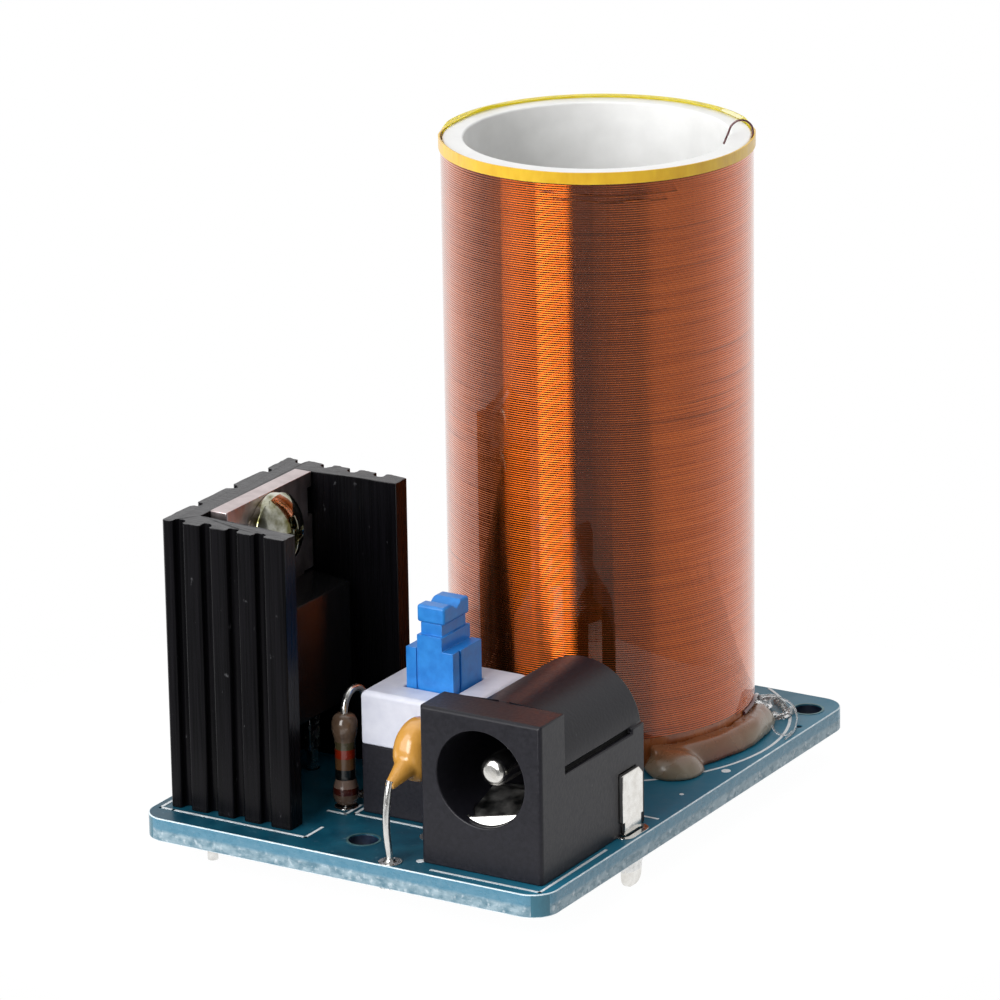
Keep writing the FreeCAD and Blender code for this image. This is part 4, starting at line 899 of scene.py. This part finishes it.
# ---- heat sink and transistor ----
def dress_heat_sink():
    """Ribbed extrusion with a sawn top, its pins and the transistor with its screw."""
    cut = sink_high.z - 0.01
    rough, bite, wander = 0.08, 0.10, 0.05      # depth of the rough rim, and how far its corners move

    def saw(point):
        """Roughen the sawn top."""
        if point.z > cut - rough:
            point.z -= bite * (1 + noise.noise(point * 3.1)) / 2
            point.x += wander * noise.noise(point * 4.3)
            point.y += wander * noise.noise(point * 5.1)
            point.x = max(point.x, sink_low.x)
            return point

    sink = copy_of("heat_sink", "ribbed_heat_sink")
    choose(sink, "EDGE", lambda start, end: start.z > cut and end.z > cut)
    bpy.ops.mesh.subdivide(number_cuts=5)
    put_down()
    soften(sink, 0.05, segments=2)
    reshape(sink, saw)
    dress(sink, "black_anodised", ["anodised", "sawn_metal"], "heat_sink")
    paint_faces(sink, lambda middle, normal: middle.z > cut - 0.15 and normal.z > 0.7)
    dress_plain([("heat_sink_pins", "sink_pins", "tinned_steel", "bright_tin", 0.03),
                 ("transistor_tab", "metal_tab", "plated_tab", "tab_plate", 0.08),
                 ("transistor_case", "moulded_case", "black_epoxy", "black_epoxy", 0.1),
                 ("transistor_legs", "flat_legs", "tinned_steel", "bright_tin", 0.05),
                 ("clamp_screw", "pan_head_screw", "zinc_screw", "zinc_screw", 0.08)])


# ---- power socket ----
def dress_socket():
    """Moulded housing, centre pin, leaf with its lip, and side contact."""
    dress_plain([("jack_housing", "socket_housing", "black_plastic", "socket_black", 0.1),
                 ("jack_centre_pin", "socket_pin", "nickel_contact", "nickel", 0.05)])
    housing = bpy.data.objects["socket_housing"]
    housing.data.materials.append(LOOKS["deep_shadow"])
    seam, depth, out, front, back = 10.65, 0.35, 4.1, -15.9, -7.5    # the groove along both sides
    paint_faces(housing, lambda middle, normal: seam - depth < middle.z < seam - 0.005
                and abs(middle.x - JACK_X) > out and front < middle.y < back)
    side = copy_of("jack_switch_contact", "side_contact")
    near = 0.01
    choose(side, "EDGE", lambda start, end: start.z < near and end.z < near
           and abs(start.y - end.y) < near and start.x != end.x)
    bpy.ops.mesh.bevel(offset=mm(0.8), segments=6, affect="EDGES")
    put_down()
    soften(side, 0.05)
    dress(side, "nickel_contact", ["nickel"], "jack_switch_contact")
    # the leaf inside the bore takes the dark mottled nickel: painted shade
    dress_plain([("jack_sleeve_contact", "sleeve_leaf", "nickel_contact", "shaded_leaf_nickel", 0.05)])
    radius, thick, gap, drop = 3.2, 0.25, 0.75, 2.66
    lean, slope = math.radians(12), math.radians(24)
    put_down()
    bpy.ops.mesh.primitive_cylinder_add(vertices=96, radius=mm(radius), depth=mm(thick),
                                        location=mm(JACK_X, pin_low.y - gap, JACK_Z),
                                        rotation=(math.pi / 2, 0, 0))
    lip = settle(new_piece("leaf_lip"))
    open_all(lip)
    bpy.ops.mesh.bisect(plane_co=mm(JACK_X, 0, JACK_Z - drop),
                        plane_no=(-math.sin(lean), 0, math.cos(lean)), use_fill=True, clear_outer=True)
    put_down()
    for corner in lip.data.vertices:
        corner.co.y += (corner.co.z - mm(JACK_Z - radius)) * math.tan(slope)
    soften(lip, 0)
    dress(lip, "nickel_contact", ["worn_nickel"])


# ---- push switch ----
def dress_switch():
    """Black base, white cover, blue plunger and the works inside."""
    dress_plain([("switch_base", "black_base", "black_plastic", "socket_black", 0.1),
                 ("switch_cover", "white_cover", "white_plastic", "white_shell", 0.12),
                 ("switch_terminals", "flat_terminals", "tinned_steel", "bright_tin", 0.03)])
    dress_plain([("switch_plunger", "blue_plunger", "blue_plastic", "switch_blue", 0.035),
                 ("switch_wipers", "bridging_wipers", "nickel_contact", "nickel", 0.02)], "plunger")
    dress_plain([("switch_latch_pin", "latch_wire", "spring_steel", "spring_wire", 0.02)], "latch_pin")
    spring = dress_plain([("switch_spring", "return_spring", "spring_steel", "spring_wire", 0)], angle=60)
    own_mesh(spring)


# ---- resistor and capacitor ----
def dress_resistor():
    """Dog-bone body with painted rings, and its looped lead."""
    length = resistor_high.z - resistor_low.z
    cap = (resistor_high.x - resistor_low.x) / 2 - 0.08
    shape = [(0.30, 0.0), (0.62, 0.06), (0.86, 0.26), (1.0, 0.6), (1.0, 1.05), (0.93, 1.4), (0.82, 1.75),
             (0.79, 2.2), (0.79, 4.2), (0.82, 4.65), (0.93, 5.0), (1.0, 5.35), (1.0, 5.8), (0.86, 6.14),
             (0.62, 6.34), (0.30, 6.4)]
    tall = shape[-1][1]
    profile = [(share * cap, resistor_low.z + height * length / tall) for share, height in shape]
    body = turned("dog_bone_body", RESISTOR_X, RESISTOR_Y, profile, 40)
    soften(body, 0, angle=50)
    dress(body, "resistor_paint", ["banded_paint"], "resistor_body")
    dress_plain([("resistor_leads", "looped_lead", "tinned_steel", "bright_tin", 0)], angle=40)


def dress_capacitor():
    """Dipped body with resin run down its leads."""
    body = copy_of("capacitor_body", "dipped_body")
    melted(body, 0.1, 16)
    uneven(body, 0.05, 0.6, 11.0)
    dress(shade_smooth(body), "ochre_resin", ["ochre_resin"], "capacitor_body")
    low, radius = UNDER - 0.22, 0.24
    front = strand("front_capacitor_wire", [
        (CAPACITOR_X, CAPACITOR_FRONT, low), (CAPACITOR_X, -20.06, TOP), (3.52, -20.28, 6.2),
        (3.55, -20.1, 8.2), (CAPACITOR_X, -19.85, 9.2)], radius, sides=8)
    back = strand("back_capacitor_wire", [
        (CAPACITOR_X, CAPACITOR_BACK, low), (CAPACITOR_X, CAPACITOR_BACK, 8.1)], radius, sides=8)
    leads = joined([front, back], "front_capacitor_wire")
    dress(leads, "tinned_steel", ["bright_tin"], "capacitor_leads")


dress_board()
print_outlines()
ring_holes()
dress_copper()
dress_solder()
wind_coil()
dress_plain([("coil_former", "white_tube", "white_tube", "white_tube", 0.12)])
dress_tapes()
dress_coil_leads()
dress_glue()
dress_heat_sink()
dress_socket()
dress_switch()
dress_resistor()
dress_capacitor()


# ---- room ----
def lay_floor():
    """Small pale table top that is white to the eye and in metal, keeps a faint shadow, and is clear
    from below."""
    put_down()
    bpy.ops.mesh.primitive_circle_add(vertices=96, radius=mm(42), fill_type="NGON", location=mm(0, 0, -0.01))
    floor = new_piece("floor")
    made = bpy.data.materials.new("pale_floor")
    made.use_nodes = True
    tree = made.node_tree
    shader = tree.nodes["Principled BSDF"]
    shader.inputs["Base Color"].default_value = (0.8, 0.8, 0.8, 1)
    shader.inputs["Roughness"].default_value = 0.9
    rays = add_node(tree, "LightPath", {})
    seen = rays["Is Camera Ray"]
    for kind in ("Is Glossy Ray", "Is Transmission Ray"):
        seen = reckon(tree, "Math", "MAXIMUM", seen, rays[kind])
    share = reckon(tree, "Math", "MULTIPLY", seen, 0.94)
    glow = add_node(tree, "Emission", {"Strength": 1.04})["Emission"]
    lit = add_node(tree, "MixShader", {"Fac": share, 1: shader.outputs["BSDF"], 2: glow})["Shader"]
    below = add_node(tree, "NewGeometry", {})["Backfacing"]
    clear = add_node(tree, "BsdfTransparent", {})["BSDF"]
    one_sided = add_node(tree, "MixShader", {"Fac": below, 1: lit, 2: clear})["Shader"]
    tree.links.new(one_sided, tree.nodes["Material Output"].inputs["Surface"])
    floor.data.materials.append(made)


def direction(azimuth, elevation):
    """The way out from the part at two angles in radians; azimuth 0 is the near side."""
    level = math.cos(elevation)
    return Vector((math.sin(azimuth) * level, -math.cos(azimuth) * level, math.sin(elevation)))


def softbox(name, azimuth, elevation, distance, width, height, radiance):
    """An area lamp that looks at the middle of the part; radiance 1 looks white."""
    lamp = bpy.data.lights.new(name, "AREA")
    lamp.shape = "RECTANGLE"
    lamp.size = width
    lamp.size_y = height
    lamp.energy = radiance * math.pi * width * height
    holder = bpy.data.objects.new(name, lamp)
    bpy.context.scene.collection.objects.link(holder)
    back = direction(math.radians(azimuth), math.radians(elevation))
    holder.location = Vector((0, 0, LOOK_Z)) + back * distance
    holder.rotation_euler = back.to_track_quat("Z", "Y").to_euler()


LOOK_Z = 0.02                       # the lamps look at this height, in metres
PEAK = 1.5                          # brightest level in the room, where 1 looks white


def level_ring(tree, turn, stops):
    """Grey levels round the part, from (azimuth, level) pairs; azimuth 0 is the near side."""
    return colour_ramp(tree, turn, [((azimuth + 180) / 360, (level / PEAK,) * 3)
                                    for azimuth, level in stops])


def light_room():
    """A dim room with a pale backdrop band round it, a pale ceiling and two softboxes on the near side."""
    world = bpy.data.worlds.new("studio")
    bpy.context.scene.world = world
    world.use_nodes = True
    tree = world.node_tree
    room = tree.nodes["Background"]
    room.inputs["Strength"].default_value = PEAK
    place = split_place(tree, "Generated")
    back = reckon(tree, "Math", "MULTIPLY", place["Y"], -1)
    azimuth = reckon(tree, "Math", "ARCTAN2", place["X"], back)
    turn = ramp_up(tree, azimuth, -math.pi, math.pi)
    walls = level_ring(tree, turn, [
        (-180, 1.0), (-110, 1.0), (-95, 0.6), (-76, 0.15), (-60, 0.1), (-45, 0.4), (-14, 0.4), (-8, 0.1),
        (66, 0.08), (71, 0.42), (100, 0.5), (136, 0.75), (166, 1.0), (180, 1.0)])
    backdrop = level_ring(tree, turn, [
        (-180, 1.0), (-125, 1.0), (-108, 1.4), (-90, 1.5), (-76, 1.5), (-60, 1.1), (-45, 0.62), (-26, 0.3),
        (-8, 0.12), (8, 0.12), (14, 0.5), (62, 0.5), (97, 0.6), (120, 0.9), (136, 1.2), (150, 1.25),
        (170, 1.1), (180, 1.0)])
    ceiling = level_ring(tree, turn, [
        (-180, 1.2), (-110, 1.2), (-80, 0.9), (-14, 0.9), (-8, 0.3), (84, 0.3), (96, 1.0), (110, 1.1),
        (130, 1.2), (180, 1.2)])
    height = place["Z"]
    band_foot = ramp_up(tree, height, -0.56, -0.50)
    band_top = ramp_up(tree, height, -0.16, -0.10)
    overhead = ramp_up(tree, height, 0.6, 0.85)
    lower = blend(tree, band_foot, walls, backdrop)
    middle = blend(tree, band_top, lower, walls)
    tree.links.new(blend(tree, overhead, middle, ceiling), room.inputs["Color"])
    softbox("front_softbox", -4, 22, 0.7, 0.29, 0.5, 8.0)
    softbox("side_softbox", -30, 30, 0.7, 0.38, 0.7, 2.7)


def place_camera():
    """Long lens a little above the board and to the right of the socket."""
    azimuth, elevation, roll = (math.radians(angle) for angle in (31.17995, 17.91154, -0.88514))
    toward = direction(azimuth, elevation)
    side = Vector((math.cos(azimuth), math.sin(azimuth), 0))
    up = toward.cross(side)
    right = math.cos(roll) * side + math.sin(roll) * up
    over = -math.sin(roll) * side + math.cos(roll) * up
    distance, aside, down = 394.47549, 0.13862, -17.32398
    centre = toward * distance - right * aside - over * down + Vector((0, 0, TOP))
    lens = bpy.data.cameras.new("camera")
    lens.lens = 210.577
    lens.sensor_width = 36
    lens.clip_start = 0.01
    lens.clip_end = 20
    camera = bpy.data.objects.new("camera", lens)
    bpy.context.scene.collection.objects.link(camera)
    turn = Matrix((right, over, toward)).transposed()
    camera.matrix_world = Matrix.Translation(centre * MM) @ turn.to_4x4()
    bpy.context.scene.camera = camera


lay_floor()
light_room()
place_camera()
bpy.context.scene.view_settings.view_transform = "Standard"

put_down()
